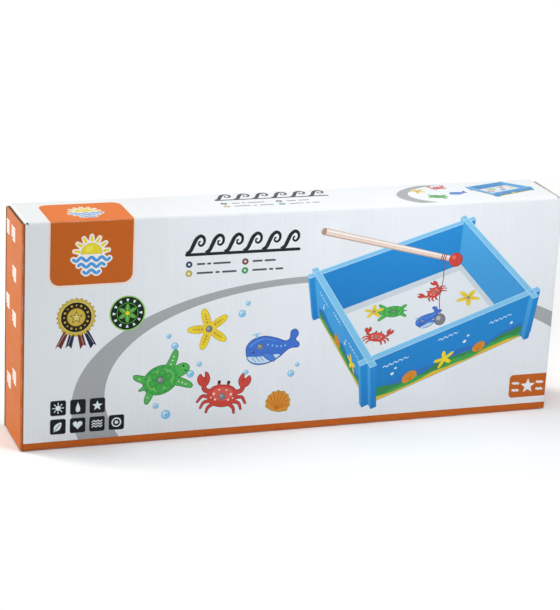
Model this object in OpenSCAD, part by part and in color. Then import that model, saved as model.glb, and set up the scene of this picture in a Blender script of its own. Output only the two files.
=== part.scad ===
// Long, slim tuck-end carton folded from one sheet of fine-flute board.
// A tube of four panels is closed at each end by a flap that hinges on the
// front panel and tucks in behind the back panel. Two short dust flaps, folded
// from the top and the bottom panel, lie behind each end flap.
//
// Frame: millimetres, +X along the length, the front panel faces -Y, +Z up.
// The origin is the middle of the base.

/* [Carton] */
// Outside length of the closed carton
carton_length = 350; // [260:1:440]
// Outside height of the closed carton
carton_height = 144; // [110:1:180]
// Outside depth of the closed carton, front to back
carton_depth = 46; // [36:1:60]

/* [Board] */
// Thickness of the folded board
board = 1.5; // [1.2:0.1:1.8]
// Outside radius of every fold
fold_radius = 1.8; // [1.8:0.1:2.6]
// Air between two layers of board that lie on each other
layer_gap = 0.4; // [0.3:0.1:0.6]

/* [End flaps] */
// How far the top and bottom edges of an end flap stay inside the carton's height
flap_setback = 0.8; // [0.4:0.1:1.6]
// Length of the tuck tab, measured round its curve
tab_length = 14; // [10:1:18]
// How far each end of the tuck tab is set in from the flap's edge
tab_inset = 5; // [3:1:12]
// Corner radius of the tuck tab
tab_corner = 8; // [4:1:9]

/* [Dust flaps] */
// Length of each dust flap from the face that it is folded from
dust_length = 40; // [24:1:50]
// Corner radius at the free end of a dust flap
dust_corner = 7; // [3:1:10]
// How much a dust flap narrows on its back side between fold and free end
dust_taper = 3; // [0:0.5:5]

/* [Glued side seam] */
// Height of the seam lap inside the back panel
lap_height = 18; // [12:1:24]
// How far the seam lap stays back from each end of the carton
lap_setback = 17; // [16:1:24]

/* [Hidden] */
$fn = 64;

printed_white = [0.93, 0.94, 0.95];
printed_orange = [0.86, 0.40, 0.15];

hl = carton_length / 2; // half length, the outside face of an end flap
hd = carton_depth / 2;  // half depth, the outside face of front and back
inner_r = fold_radius - board;

// An end flap's hinge axis is the upright corner line where the planes of the
// front panel and the end meet. The mitre between the two halves of the fold
// passes through that line.
mitre = 0.2; // half of the mitre's gap, square to it
reach = carton_depth - board - layer_gap; // hinge axis to the tuck tab's outside
fold_y = sqrt(pow(reach - fold_radius, 2) - pow(fold_radius, 2)); // hinge axis to the tuck fold's centre
fold_turn = asin(fold_radius / (reach - fold_radius));
tab_turn = tab_length / reach * 180 / PI;

flap_z0 = flap_setback;
flap_z1 = carton_height - flap_setback;
crease_z0 = fold_radius;
crease_z1 = carton_height - fold_radius;

dust_x = hl - board - layer_gap;  // outside face of a dust flap
panel_x = dust_x - fold_radius;   // where the top and bottom panels start to fold
dust_y0 = -hd + fold_radius;
dust_y1 = -hd + sqrt(pow(reach - board, 2) - pow(2 * board + layer_gap, 2)) - 0.7;

// Quarter of a fold: a ring in the quadrant that sx and sy point into.
module quarter_fold(sx, sy) {
    intersection() {
        difference() {
            circle(r = fold_radius);
            circle(r = inner_r);
        }
        translate([sx > 0 ? 0 : -2 * fold_radius, sy > 0 ? 0 : -2 * fold_radius])
            square(2 * fold_radius);
    }
}

// Extrudes a section drawn in Y and Z along X, about the middle of the carton.
module along_x(len) {
    rotate([90, 0, 90]) linear_extrude(height = len, center = true) children();
}

// Extrudes a plan drawn in X and Y between two heights.
module upright(z0, z1) {
    translate([0, 0, z0]) linear_extrude(height = z1 - z0) children();
}

// Plan of the half of the end fold that belongs to the front panel.
module front_half_of_end_fold() {
    intersection() {
        translate([-hl + fold_radius, -hd + fold_radius]) quarter_fold(-1, -1);
        translate([-hl, -hd])
            polygon([[mitre * sqrt(2), 0], [4 * fold_radius, 0],
                     [4 * fold_radius, 4 * fold_radius - mitre * sqrt(2)]]);
    }
}

// Plan of the half of the end fold that belongs to the end flap.
module flap_half_of_end_fold() {
    intersection() {
        translate([-hl + fold_radius, -hd + fold_radius]) quarter_fold(-1, -1);
        translate([-hl, -hd])
            polygon([[0, mitre * sqrt(2)], [0, 4 * fold_radius],
                     [4 * fold_radius - mitre * sqrt(2), 4 * fold_radius]]);
    }
}

// Section of the four panels, their long folds and nothing of the seam lap.
module panel_section() {
    translate([-hd, fold_radius]) square([board, carton_height - 2 * fold_radius]);
    translate([-hd + fold_radius, carton_height - board])
        square([carton_depth - 2 * fold_radius, board]);
    // the back panel's cut edge comes down level with the base
    translate([hd - board, 0])
        square([board, carton_height - fold_radius]);
    translate([-hd + fold_radius, 0])
        square([carton_depth - board - 2 * fold_radius, board]);
    translate([-hd + fold_radius, fold_radius]) quarter_fold(-1, -1);
    translate([-hd + fold_radius, carton_height - fold_radius]) quarter_fold(-1, 1);
    translate([hd - fold_radius, carton_height - fold_radius]) quarter_fold(1, 1);
}

// Seam lap: folds up from the bottom panel and is glued inside the back panel.
// Its ends are cut at a slant, clear of the tuck tabs.
module seam_lap() {
    lx = hl - lap_setback;
    intersection() {
        along_x(2 * lx) {
            translate([hd - board - fold_radius, fold_radius]) quarter_fold(1, -1);
            translate([hd - 2 * board, fold_radius])
                square([board, lap_height - fold_radius]);
        }
        translate([0, hd - board, 0]) rotate([90, 0, 0])
            linear_extrude(height = 4 * fold_radius)
                polygon([[-lx, -1], [lx, -1], [lx, fold_radius],
                         [lx - 0.7 * lap_height, lap_height],
                         [-lx + 0.7 * lap_height, lap_height],
                         [-lx, fold_radius]]);
    }
}

// Outline of a dust flap in Y and Z, hanging from the top panel's fold.
module dust_outline() {
    z1 = carton_height - fold_radius;
    z0 = carton_height - dust_length;
    intersection() {
        union() {
            translate([dust_y0, z0 + dust_corner])
                square([dust_y1 - dust_y0, z1 - z0 - dust_corner]);
            translate([dust_y0 + dust_corner, z0])
                square([dust_y1 - dust_y0 - 2 * dust_corner, 2 * dust_corner]);
            translate([dust_y0 + dust_corner, z0 + dust_corner]) circle(r = dust_corner);
            translate([dust_y1 - dust_corner, z0 + dust_corner]) circle(r = dust_corner);
        }
        polygon([[dust_y0, z1], [dust_y0, z0], [dust_y1 - dust_taper, z0],
                 [dust_y1, z1 - 3], [dust_y1, z1]]);
    }
}

// Dust flap of the top panel at the left end, with its fold.
module dust_flap() {
    translate([-dust_x, 0, 0]) rotate([90, 0, 90]) linear_extrude(height = board)
        dust_outline();
    translate([0, dust_y1, 0]) rotate([90, 0, 0])
        linear_extrude(height = dust_y1 - dust_y0)
            translate([-panel_x, carton_height - fold_radius]) quarter_fold(-1, 1);
}

// What closes the left end, apart from its end flap.
module sleeve_end() {
    // front panel between the long folds, out to its half of the end fold
    translate([-hl + fold_radius, -hd, crease_z0])
        cube([hl - fold_radius, board, crease_z1 - crease_z0]);
    upright(crease_z0, crease_z1) front_half_of_end_fold();
    // back panel out to its cut end
    translate([-hl, hd - board, 0])
        cube([hl, board, carton_height - fold_radius]);
    dust_flap();
    translate([0, 0, carton_height]) mirror([0, 0, 1]) dust_flap();
}

module carton_sleeve() {
    color(printed_white) union() {
        along_x(2 * panel_x) panel_section();
        seam_lap();
        sleeve_end();
        mirror([1, 0, 0]) sleeve_end();
    }
}

// Outline of an end flap's plate in Y and Z, out to its fold and its shoulders.
module flap_outline() {
    y0 = -hd + fold_radius;
    y1 = -hd + fold_y;
    shoulder = 1.1;
    translate([y0, crease_z0 + 0.3])
        square([y1 - y0, crease_z1 - crease_z0 - 0.6]);
    translate([y0 + 0.6, flap_z0]) square([y1 - y0 - 0.6, flap_z1 - flap_z0]);
    for (z = [flap_z0, flap_z1 - tab_inset + 0.6]) {
        translate([y1 - 1, z]) square([shoulder, tab_inset - 0.6]);
    }
}

// Plan of the tuck tab and its fold. The tab curves about the hinge axis.
module tab_plan() {
    translate([-hl, -hd]) {
        translate([fold_radius, fold_y]) intersection() {
            difference() {
                circle(r = fold_radius);
                circle(r = inner_r);
            }
            polygon([[0, 0], [-4, 0], [-4, 4], [4 * sin(fold_turn), 4 * cos(fold_turn)]]);
        }
        intersection() {
            difference() {
                circle(r = reach, $fn = 180);
                circle(r = reach - board, $fn = 180);
            }
            polygon([[0, 0],
                     [2 * reach * sin(fold_turn), 2 * reach * cos(fold_turn)],
                     [2 * reach * sin(tab_turn), 2 * reach * cos(tab_turn)]]);
        }
    }
}

// Outline of the tuck tab seen from behind, in X and Z, with round corners.
module tab_outline() {
    z0 = flap_z0 + tab_inset;
    z1 = flap_z1 - tab_inset;
    tip = -hl + reach * sin(tab_turn);
    translate([-hl - 1, z0]) square([tip + hl + 1 - tab_corner, z1 - z0]);
    translate([tip - 2 * tab_corner, z0 + tab_corner])
        square([2 * tab_corner + 0.5, z1 - z0 - 2 * tab_corner]);
    for (z = [z0 + tab_corner, z1 - tab_corner])
        translate([tip - tab_corner, z]) circle(r = tab_corner);
}

// Left end flap, closed: plate, its half of the end fold, tuck fold and tab.
module end_flap() {
    translate([-hl, 0, 0]) rotate([90, 0, 90]) linear_extrude(height = board)
        flap_outline();
    upright(crease_z0 + 0.3, crease_z1 - 0.3) flap_half_of_end_fold();
    intersection() {
        upright(flap_z0 + tab_inset, flap_z1 - tab_inset) tab_plan();
        translate([0, hd + 1, 0]) rotate([90, 0, 0])
            linear_extrude(height = carton_depth / 2) tab_outline();
    }
}

module left_end_flap() {
    color(printed_orange) end_flap();
}

module right_end_flap() {
    color(printed_orange) mirror([1, 0, 0]) end_flap();
}

carton_sleeve();
left_end_flap();
right_end_flap();
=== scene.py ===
"""Looks of a printed tuck-end carton: folded sleeve, two end flaps and their creases.

Everything is cut from one flat blank. The print is drawn once on that blank as
plain polygons, the blank is split into triangles along them, and each piece is
folded from its part of the blank. Lengths in the blank are millimetres.
"""

import math

import bpy
import numpy as np
from mathutils import Matrix, Vector
from mathutils.geometry import delaunay_2d_cdt


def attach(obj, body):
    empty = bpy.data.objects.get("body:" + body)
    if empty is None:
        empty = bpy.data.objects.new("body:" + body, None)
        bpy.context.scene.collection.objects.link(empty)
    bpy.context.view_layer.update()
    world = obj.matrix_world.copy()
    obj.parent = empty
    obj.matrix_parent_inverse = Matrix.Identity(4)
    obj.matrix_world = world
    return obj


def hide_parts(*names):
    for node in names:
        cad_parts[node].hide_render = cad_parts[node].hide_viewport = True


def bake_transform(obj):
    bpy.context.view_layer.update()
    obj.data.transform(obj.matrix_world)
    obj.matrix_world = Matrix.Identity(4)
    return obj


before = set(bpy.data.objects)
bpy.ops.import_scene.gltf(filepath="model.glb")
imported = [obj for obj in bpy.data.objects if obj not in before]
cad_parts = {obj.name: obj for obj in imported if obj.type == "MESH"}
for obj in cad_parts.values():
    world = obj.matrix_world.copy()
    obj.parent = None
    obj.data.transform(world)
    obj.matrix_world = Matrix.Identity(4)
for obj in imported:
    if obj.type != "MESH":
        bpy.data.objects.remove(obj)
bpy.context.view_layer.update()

# ---------------------------------------------------------------- dimensions
# The same values as in the part's source, in millimetres.
L, H, D, B, R, GAP = 350.0, 144.0, 46.0, 1.5, 1.8, 0.4
HL, HD = L / 2, D / 2
PANEL_X = HL - B - GAP - R  # 171.3, where the top and bottom panels end
FLAP_Z0, FLAP_Z1 = 0.8, H - 0.8
REACH = D - B - GAP
FOLD_Y = math.sqrt((REACH - R) ** 2 - R**2)
FOLD_TURN = math.asin(R / (REACH - R))
TAB_TURN = 14.0 / REACH
TAB_Z0, TAB_Z1, TAB_R = FLAP_Z0 + 5, FLAP_Z1 - 5, 8.0
LAP_X, LAP_H = HL - 17, 18.0
DUST_Y0 = -HD + R
DUST_Y1 = -HD + math.sqrt((REACH - B) ** 2 - (2 * B + GAP) ** 2) - 0.7
ARC = R * math.pi / 2  # a square fold, measured round its outside

# Across the blank, v runs round the tube, from the back panel's cut edge.
V1 = H - R
V2 = V1 + ARC
V3 = V2 + D - 2 * R
V4 = V3 + ARC
V5 = V4 + H - 2 * R
V6 = V5 + ARC
V7 = V6 + D - B - 2 * R
V8 = V7 + ARC
V9 = V8 + LAP_H - R
VF = V4 + H - R  # v of a point on the front panel is VF - z
VT = V2 + HD - R  # v of a point on the top panel is VT - y

# Along the blank, w is the distance from its middle, past each end fold.
W_FRONT = HL - R  # 173.2, end of the flat front panel
W_SIDE = W_FRONT + ARC
W_STRIP = W_SIDE + 1.9  # the crease piece ends here
W_TUCK = W_SIDE + FOLD_Y - R
TUCK_TURN = math.pi / 2 + FOLD_TURN
W_TAB = W_TUCK + R * TUCK_TURN
W_TIP = W_TAB + (REACH) * (TAB_TURN - FOLD_TURN)
W_DUST = PANEL_X + ARC + 40.0 - R


# ---------------------------------------------------------------- folding
def fold_sleeve(u, v, d):
    """Place of points of the blank at depth d under its printed side."""
    x, y, z = u.copy(), np.zeros_like(u), np.zeros_like(u)
    r = R - d
    k = v < V1
    y[k], z[k] = HD - d[k], v[k]
    k = (v >= V1) & (v < V2)
    t = (v[k] - V1) / R
    y[k], z[k] = HD - R + r[k] * np.cos(t), H - R + r[k] * np.sin(t)
    k = (v >= V2) & (v < V3)
    y[k], z[k] = HD - R - (v[k] - V2), H - d[k]
    k = (v >= V3) & (v < V4)
    t = (v[k] - V3) / R
    y[k], z[k] = -HD + R - r[k] * np.sin(t), H - R + r[k] * np.cos(t)
    k = (v >= V4) & (v < V5)
    y[k], z[k] = -HD + d[k], H - R - (v[k] - V4)
    k = (v >= V5) & (v < V6)
    t = (v[k] - V5) / R
    y[k], z[k] = -HD + R - r[k] * np.cos(t), R - r[k] * np.sin(t)
    k = (v >= V6) & (v < V7)
    y[k], z[k] = -HD + R + (v[k] - V6), d[k]
    k = (v >= V7) & (v < V8)
    t = (v[k] - V7) / R
    y[k], z[k] = HD - B - R + r[k] * np.sin(t), R - r[k] * np.cos(t)
    k = v >= V8
    y[k], z[k] = HD - B - d[k], R + (v[k] - V8)
    # the dust flaps fold once more, off the ends of the top and bottom panels
    w, side = np.abs(u), np.sign(u)
    for top in (True, False):
        on = (v >= V2 - 1e-6) & (v <= V3 + 1e-6) if top else (v >= V6 - 1e-6) & (v <= V7 + 1e-6)
        k = on & (w > PANEL_X)
        t = np.minimum((w[k] - PANEL_X) / R, math.pi / 2)
        down = np.maximum(w[k] - PANEL_X - ARC, 0)
        x[k] = side[k] * (PANEL_X + r[k] * np.sin(t))
        zz = R - r[k] * np.cos(t) + down
        z[k] = H - zz if top else zz
        if top:
            y[k] = HD - R - (v[k] - V2)
        else:
            y[k] = -HD + R + (v[k] - V6)
    return np.stack([x, y, z], 1)


def fold_end(u, v, d):
    """The same, for what hangs on the end folds of the front panel."""
    w, side = np.abs(u), np.sign(u)
    x, y, z = w.copy(), -HD + d, VF - v
    r = R - d
    k = (w > W_FRONT) & (w <= W_SIDE)
    t = (w[k] - W_FRONT) / R
    x[k], y[k] = W_FRONT + r[k] * np.sin(t), -HD + R - r[k] * np.cos(t)
    k = (w > W_SIDE) & (w <= W_TUCK)
    x[k], y[k] = HL - d[k], -HD + R + (w[k] - W_SIDE)
    k = (w > W_TUCK) & (w <= W_TAB)
    t = (w[k] - W_TUCK) / R
    x[k], y[k] = HL - R + r[k] * np.cos(t), -HD + FOLD_Y + r[k] * np.sin(t)
    k = w > W_TAB
    t = FOLD_TURN + (w[k] - W_TAB) / REACH
    x[k], y[k] = HL - (REACH - d[k]) * np.sin(t), -HD + (REACH - d[k]) * np.cos(t)
    return np.stack([side * x, y, z], 1)


# ---------------------------------------------------------------- shapes
def circle(cx, cy, r, n=None, turn=0.0):
    n = n or int(np.clip(10 + 5 * r, 12, 64))
    t = np.linspace(0, 2 * math.pi, n, endpoint=False) + turn
    return np.stack([cx + r * np.cos(t), cy + r * np.sin(t)], 1)


def ellipse(cx, cy, rx, ry, turn=0.0, n=None):
    n = n or int(np.clip(10 + 4 * max(rx, ry), 14, 72))
    t = np.linspace(0, 2 * math.pi, n, endpoint=False)
    p = np.stack([rx * np.cos(t), ry * np.sin(t)], 1)
    return turned(p, turn) + [cx, cy]


def turned(p, a):
    c, s = math.cos(a), math.sin(a)
    return np.asarray(p, float) @ np.array([[c, s], [-s, c]])


def rrect(x0, y0, x1, y1, r, n=6, corners=(1, 1, 1, 1)):
    """Rectangle with rounded corners, from the lower left one counterclockwise."""
    out = []
    spots = [(x0, y0, 1, 1, 180), (x1, y0, -1, 1, 270), (x1, y1, -1, -1, 0), (x0, y1, 1, -1, 90)]
    for (cx, cy, sx, sy, a), on in zip(spots, corners):
        if not on:
            out.append([(cx, cy)])
            continue
        t = np.radians(np.linspace(a, a + 90, n))
        out.append(np.stack([cx + sx * r + r * np.cos(t), cy + sy * r + r * np.sin(t)], 1))
    return np.concatenate([np.asarray(o, float) for o in out])


def smooth(points, n=5, closed=True):
    """A soft curve through the points."""
    p = np.asarray(points, float)
    if not closed:
        p = np.concatenate([[2 * p[0] - p[1]], p, [2 * p[-1] - p[-2]]])
        span = range(1, len(p) - 2)
        at = lambda i: p[i]
    else:
        span = range(len(p))
        at = lambda i: p[i % len(p)]
    out = []
    for i in span:
        a, b, c, e = at(i - 1), at(i), at(i + 1), at(i + 2)
        for t in np.arange(n) / n:
            out.append(
                0.5 * (2 * b + (c - a) * t + (2 * a - 5 * b + 4 * c - e) * t * t + (3 * b - a - 3 * c + e) * t**3)
            )
    if not closed:
        out.append(p[-2])
    return np.array(out)


def stroke(points, width, end=None, cap=True):
    """A line of some width, which may narrow to another width, with round ends."""
    p = np.asarray(points, float)
    step = np.gradient(p, axis=0)
    step /= np.maximum(np.linalg.norm(step, axis=1), 1e-9)[:, None]
    side = np.stack([-step[:, 1], step[:, 0]], 1)
    far = np.linspace(0, 1, len(p))
    half = (width + ((end if end is not None else width) - width) * far)[:, None] / 2
    left, right = p + side * half, p - side * half
    caps = []
    for at, s, h, way in ((p[-1], step[-1], half[-1, 0], 1), (p[0], step[0], half[0, 0], -1)):
        if cap and h > 0.12:
            base = math.atan2(s[1], s[0]) + (0 if way > 0 else math.pi)
            t = base + np.radians(np.linspace(60, -60, 4))
            caps.append(np.stack([at[0] + h * np.cos(t), at[1] + h * np.sin(t)], 1))
        else:
            caps.append(np.zeros((0, 2)))
    return np.concatenate([left, caps[0], right[::-1], caps[1]])


def star(cx, cy, ro, ri, n=5, turn=math.pi / 2):
    t = turn + np.arange(2 * n) * math.pi / n
    r = np.where(np.arange(2 * n) % 2 == 0, ro, ri)
    return np.stack([cx + r * np.cos(t), cy + r * np.sin(t)], 1)


def grown(poly, by):
    """The outline moved outwards by a small amount."""
    p = np.asarray(poly, float)
    a, b = np.roll(p, 1, 0), np.roll(p, -1, 0)
    area = 0.5 * np.sum(p[:, 0] * b[:, 1] - b[:, 0] * p[:, 1])
    e0, e1 = p - a, b - p
    n0 = np.stack([e0[:, 1], -e0[:, 0]], 1)
    n1 = np.stack([e1[:, 1], -e1[:, 0]], 1)
    n0 /= np.maximum(np.linalg.norm(n0, axis=1), 1e-9)[:, None]
    n1 /= np.maximum(np.linalg.norm(n1, axis=1), 1e-9)[:, None]
    n = n0 + n1
    n /= np.maximum(np.linalg.norm(n, axis=1), 0.5)[:, None]
    scale = 1 / np.clip(np.sum(n * n0, 1), 0.6, 1)
    return p + n * (by * scale * np.sign(area))[:, None]


def heart(cx, cy, s):
    t = np.linspace(0, 2 * math.pi, 28, endpoint=False)
    x = 16 * np.sin(t) ** 3
    y = 13 * np.cos(t) - 5 * np.cos(2 * t) - 2 * np.cos(3 * t) - np.cos(4 * t)
    return np.stack([cx + s * x / 17, cy + s * (y + 2) / 17], 1)


def drop(cx, cy, s):
    t = np.linspace(0, 2 * math.pi, 26, endpoint=False)
    return np.stack(
        [cx + s * 0.62 * np.sin(t) * np.sin(t / 2) ** 1.6, cy + s * np.cos(t)], 1
    )


def leaf_outline(cx, cy, long, wide, turn):
    t = np.linspace(0, 2 * math.pi, 30, endpoint=False)
    y = np.sin(t) * wide / 2 * (1 - 0.25 * np.cos(t))
    x = np.cos(t) * long / 2
    y *= np.abs(np.sin(t)) ** 0.35
    return turned(np.stack([x, y], 1), turn) + [cx, cy]


# ---------------------------------------------------------------- inks
def lin(r, g, b):
    """A printed colour given as 0-255 values under even light."""
    c = np.array([r, g, b], float) / 255
    return np.where(c <= 0.04045, c / 12.92, ((c + 0.055) / 1.055) ** 2.4)


WHITE = np.array([0.845, 0.86, 0.875])
ORANGE = np.array([0.585, 0.124, 0.010])
# a lighter copy of ORANGE for the top of the tab: painted sheen
ORANGE_PALE = np.array([0.80, 0.215, 0.058])
CREAM = np.array([0.90, 0.77, 0.67])
GREY = np.array([0.405, 0.415, 0.415])
BLACK = np.array([0.006, 0.007, 0.009])
INK = np.array([0.016, 0.017, 0.020])
TEXT = np.array([0.085, 0.09, 0.10])
GOLD = np.array([0.66, 0.47, 0.06])
GOLD_DEEP = np.array([0.36, 0.23, 0.025])
DARK = np.array([0.016, 0.011, 0.007])
MAROON = np.array([0.17, 0.028, 0.022])
NAVY = np.array([0.012, 0.018, 0.065])
PINE = np.array([0.003, 0.018, 0.004])
LEAF = np.array([0.09, 0.40, 0.05])
LIME = np.array([0.33, 0.60, 0.16])
YELLOW = np.array([0.90, 0.70, 0.03])
YELLOW_DEEP = np.array([0.62, 0.42, 0.02])
RED = np.array([0.66, 0.062, 0.045])
RED_DEEP = np.array([0.26, 0.02, 0.018])
GREEN = np.array([0.055, 0.42, 0.07])
GREEN_DEEP = np.array([0.015, 0.17, 0.03])
BLUE = np.array([0.055, 0.17, 0.62])
BLUE_DEEP = np.array([0.015, 0.05, 0.25])
SKY = np.array([0.24, 0.56, 0.80])
SKY_PALE = np.array([0.62, 0.82, 0.92])
STEEL = np.array([0.22, 0.22, 0.235])
WOOD = np.array([0.86, 0.66, 0.56])
FOAM = np.array([0.80, 0.88, 0.92])

shapes = []  # (ink, [outlines in the blank], lowest corner, highest corner)


def ink(colour, *outlines):
    """Adds a printed shape; the later one lies on top."""
    polys = [np.asarray(p, float) for p in outlines]
    every = np.concatenate(polys)
    shapes.append((colour, polys, every.min(0), every.max(0)))


def on_front(p):
    p = np.asarray(p, float)
    return np.stack([p[:, 0], VF - p[:, 1]], 1)


def on_top(p):
    p = np.asarray(p, float)
    return np.stack([p[:, 0], VT - p[:, 1]], 1)


def put(drawing, place):
    for colour, *outlines in drawing:
        ink(colour, *[place(o) for o in outlines])


def moved(x, y, size=1.0, turn=0.0, then=on_front, flip=1):
    def place(p):
        q = np.asarray(p, float) * [flip, 1]
        return then(turned(q * size, turn) + [x, y])

    return place


# ---------------------------------------------------------------- motifs
def magnet(x, y, r=1.9):
    return [
        (STEEL * 0.5, circle(x, y, r + 0.25)),
        (STEEL, circle(x, y, r)),
        (STEEL * 1.9, circle(x - 0.25 * r, y + 0.3 * r, 0.45 * r)),
    ]


def starfish():
    t = np.linspace(0, 2 * math.pi, 90, endpoint=False)
    r = 13.2 * (0.60 + 0.36 * np.cos(5 * (t - math.pi / 2)) + 0.05 * np.cos(10 * (t - math.pi / 2)))
    body = np.stack([r * np.cos(t), r * np.sin(t)], 1)
    out = [(YELLOW_DEEP, grown(body, 0.45)), (YELLOW, body)]
    inner = body * 0.80
    out.append((YELLOW * [0.96, 0.86, 1.2], inner))
    for k in range(5):
        a = math.pi / 2 + k * 2 * math.pi / 5
        for j, rr in enumerate((4.6, 6.6, 8.4, 10.1)):
            out.append((GOLD_DEEP, circle(rr * math.cos(a), rr * math.sin(a), 0.62 - 0.08 * j, 12)))
        for s in (-1, 1):
            out.append((GOLD, circle(6.0 * math.cos(a + s * 0.24), 6.0 * math.sin(a + s * 0.24), 0.36, 10)))
    return out + magnet(0, 0)


def crab():
    out = []
    lines, blobs = [], []
    for s in (-1, 1):
        for k, (a, b, c) in enumerate([((7.5, -1), (12.5, -0.5), (15.2, -4.2)), ((6.6, -3.2), (11, -4.4), (12.8, -8.0)), ((5, -5), (8, -7.6), (8.8, -10.6))]):
            lines.append(stroke(smooth([(s * a[0], a[1]), (s * b[0], b[1]), (s * c[0], c[1])], 5, False), 1.9, 0.8))
        lines.append(stroke(smooth([(s * 7.4, 2.4), (s * 11.4, 3.6), (s * 12.8, 7.2)], 5, False), 2.4, 2.2))
        claw = smooth([(s * 10.6, 6.6), (s * 9.4, 10.2), (s * 10.6, 13.6), (s * 12.4, 14.8), (s * 12.2, 11.8), (s * 13.6, 11.4), (s * 15.6, 13.2), (s * 16.8, 10.6), (s * 15.6, 7.4), (s * 13.0, 6.0)], 4)
        blobs.append(claw)
        blobs.append(stroke([(s * 2.8, 5.2), (s * 3.0, 8.4)], 1.1))
    shell = smooth([(-9.2, 0.4), (-7.4, 4.6), (-3.2, 6.6), (3.2, 6.6), (7.4, 4.6), (9.2, 0.4), (7.0, -4.6), (2.6, -6.6), (-2.6, -6.6), (-7.0, -4.6)], 5)
    for p in lines + blobs + [shell]:
        out.append((RED_DEEP, grown(p, 0.42)))
    for p in lines + blobs:
        out.append((RED, p))
    out.append((RED, shell))
    out.append((RED * [1.12, 1.9, 1.9], smooth(shell[::5] * [0.74, 0.62] + [0, 1.2], 3)))
    for s in (-1, 1):
        out.append((DARK, circle(s * 3.0, 8.9, 1.0, 14)))
        for x, y, r in ((5.4, 1.2, 0.75), (4.2, -2.4, 0.65), (6.9, -1.2, 0.5), (2.3, 3.8, 0.55)):
            out.append((CREAM, circle(s * x, y, r, 12)))
        out.append((RED_DEEP, stroke(smooth([(s * 11.4, 9.0), (s * 12.2, 10.2), (s * 12.2, 11.6)], 4, False), 0.4)))
    return out + magnet(0, -0.4)


def turtle():
    out = []
    shell = ellipse(0, 0, 11.2, 8.8, n=48)
    limbs = [
        smooth([(5.4, 5.4), (9.6, 9.2), (14.6, 13.2), (16.4, 12.0), (14.6, 8.2), (10.0, 3.6)], 5),
        smooth([(5.4, -5.4), (9.6, -9.2), (14.6, -13.2), (16.4, -12.0), (14.6, -8.2), (10.0, -3.6)], 5),
        smooth([(-6.6, 4.6), (-10.4, 8.6), (-13.6, 10.2), (-14.2, 8.2), (-12.6, 5.6), (-9.4, 2.6)], 5),
        smooth([(-6.6, -4.6), (-10.4, -8.6), (-13.6, -10.2), (-14.2, -8.2), (-12.6, -5.6), (-9.4, -2.6)], 5),
        smooth([(9.6, 2.9), (13.0, 3.7), (16.8, 3.2), (19.0, 0.6), (18.4, -2.0), (15.4, -3.5), (9.6, -2.9)], 5),
        smooth([(-10.2, 1.1), (-14.6, 0), (-10.2, -1.1)], 5),
    ]
    for p in limbs + [shell]:
        out.append((GREEN_DEEP, grown(p, 0.42)))
    for p in limbs:
        out.append((GREEN * [1.5, 1.12, 1.3], p))
    out.append((GREEN, shell))
    out.append((GREEN * [2.6, 1.22, 1.6], ellipse(0, 0, 8.9, 6.7, n=40)))
    hexes = [(0, 0, 2.9)] + [(5.3 * math.cos(a), 4.3 * math.sin(a), 2.15) for a in np.radians([0, 60, 120, 180, 240, 300])]
    for x, y, r in hexes:
        out.append((GREEN_DEEP, circle(x, y, r + 0.38, 6)))
        out.append((GREEN, circle(x, y, r, 6)))
    for k in range(14):
        a = 2 * math.pi * (k + 0.5) / 14
        out.append((GREEN_DEEP, stroke([(9.1 * math.cos(a), 6.9 * math.sin(a)), (10.9 * math.cos(a), 8.5 * math.sin(a))], 0.36, cap=False)))
    for s in (-1, 1):
        for x, y in ((11.4, 8.0), (13.0, 9.9), (9.6, 6.2)):
            out.append((CREAM, circle(x, s * y, 0.5, 10)))
        out.append((CREAM, circle(-11.4, s * 6.6, 0.45, 10)))
        out.append((DARK, circle(16.2, s * 1.75, 0.62, 12)))
    return out + magnet(0, 0)


def whale():
    out = []
    body = smooth(
        [(-15.8, 0.2), (-15.0, 5.0), (-10.4, 8.6), (-3.0, 9.2), (4.6, 6.4), (10.0, 3.4), (13.4, 4.6), (14.6, 9.0), (17.6, 9.6), (18.8, 6.4), (16.6, 3.2), (18.6, 0.2), (17.8, -2.0), (13.8, -1.6), (10.0, -2.8), (4.0, -6.6), (-4.0, -8.6), (-11.0, -7.6), (-15.0, -4.2)],
        5,
    )
    belly = smooth([(-15.2, -2.0), (-9.0, -3.2), (-1.0, -3.6), (5.6, -4.6), (2.0, -6.9), (-4.0, -8.1), (-11.0, -7.1), (-14.6, -4.4)], 5)
    out += [(BLUE_DEEP, grown(body, 0.42)), (BLUE, body), (SKY_PALE * 0.92, belly)]
    for k in range(6):
        x = -12.4 + 2.6 * k
        out.append((BLUE, stroke(smooth([(x, -3.2), (x + 0.9, -5.0), (x + 2.2, -6.8)], 4, False), 0.42, 0.3)))
    out.append((BLUE_DEEP, grown(smooth([(-5.6, -1.6), (-3.0, -5.8), (1.6, -8.2), (0.6, -3.8)], 5), 0.32)))
    out.append((BLUE * [1.4, 1.35, 1.1], smooth([(-5.6, -1.6), (-3.0, -5.8), (1.6, -8.2), (0.6, -3.8)], 5)))
    out.append((BLUE * [2.6, 2.0, 1.2], stroke(smooth([(-13.2, 4.4), (-8.6, 7.0), (-2.4, 7.4), (4.0, 4.8)], 6, False), 0.8, 0.3)))
    for x, y in ((-1.4, 3.4), (1.4, 2.2), (4.2, 1.2), (7.0, 0.6), (9.6, 0.6)):
        out.append((SKY, circle(x, y, 0.62, 12)))
    out.append((DARK, circle(-11.6, 0.5, 0.78, 14)))
    out.append((WHITE, circle(-11.9, 0.8, 0.26, 8)))
    for s in (-1, 0, 1):
        out.append((SKY, stroke(smooth([(-8.0, 9.3), (-8.0 + 1.3 * s, 11.8), (-8.0 + 3.0 * s, 12.6 - 0.9 * abs(s))], 4, False), 0.75, 0.45)))
    return out + magnet(-6.6, 3.0)


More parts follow.
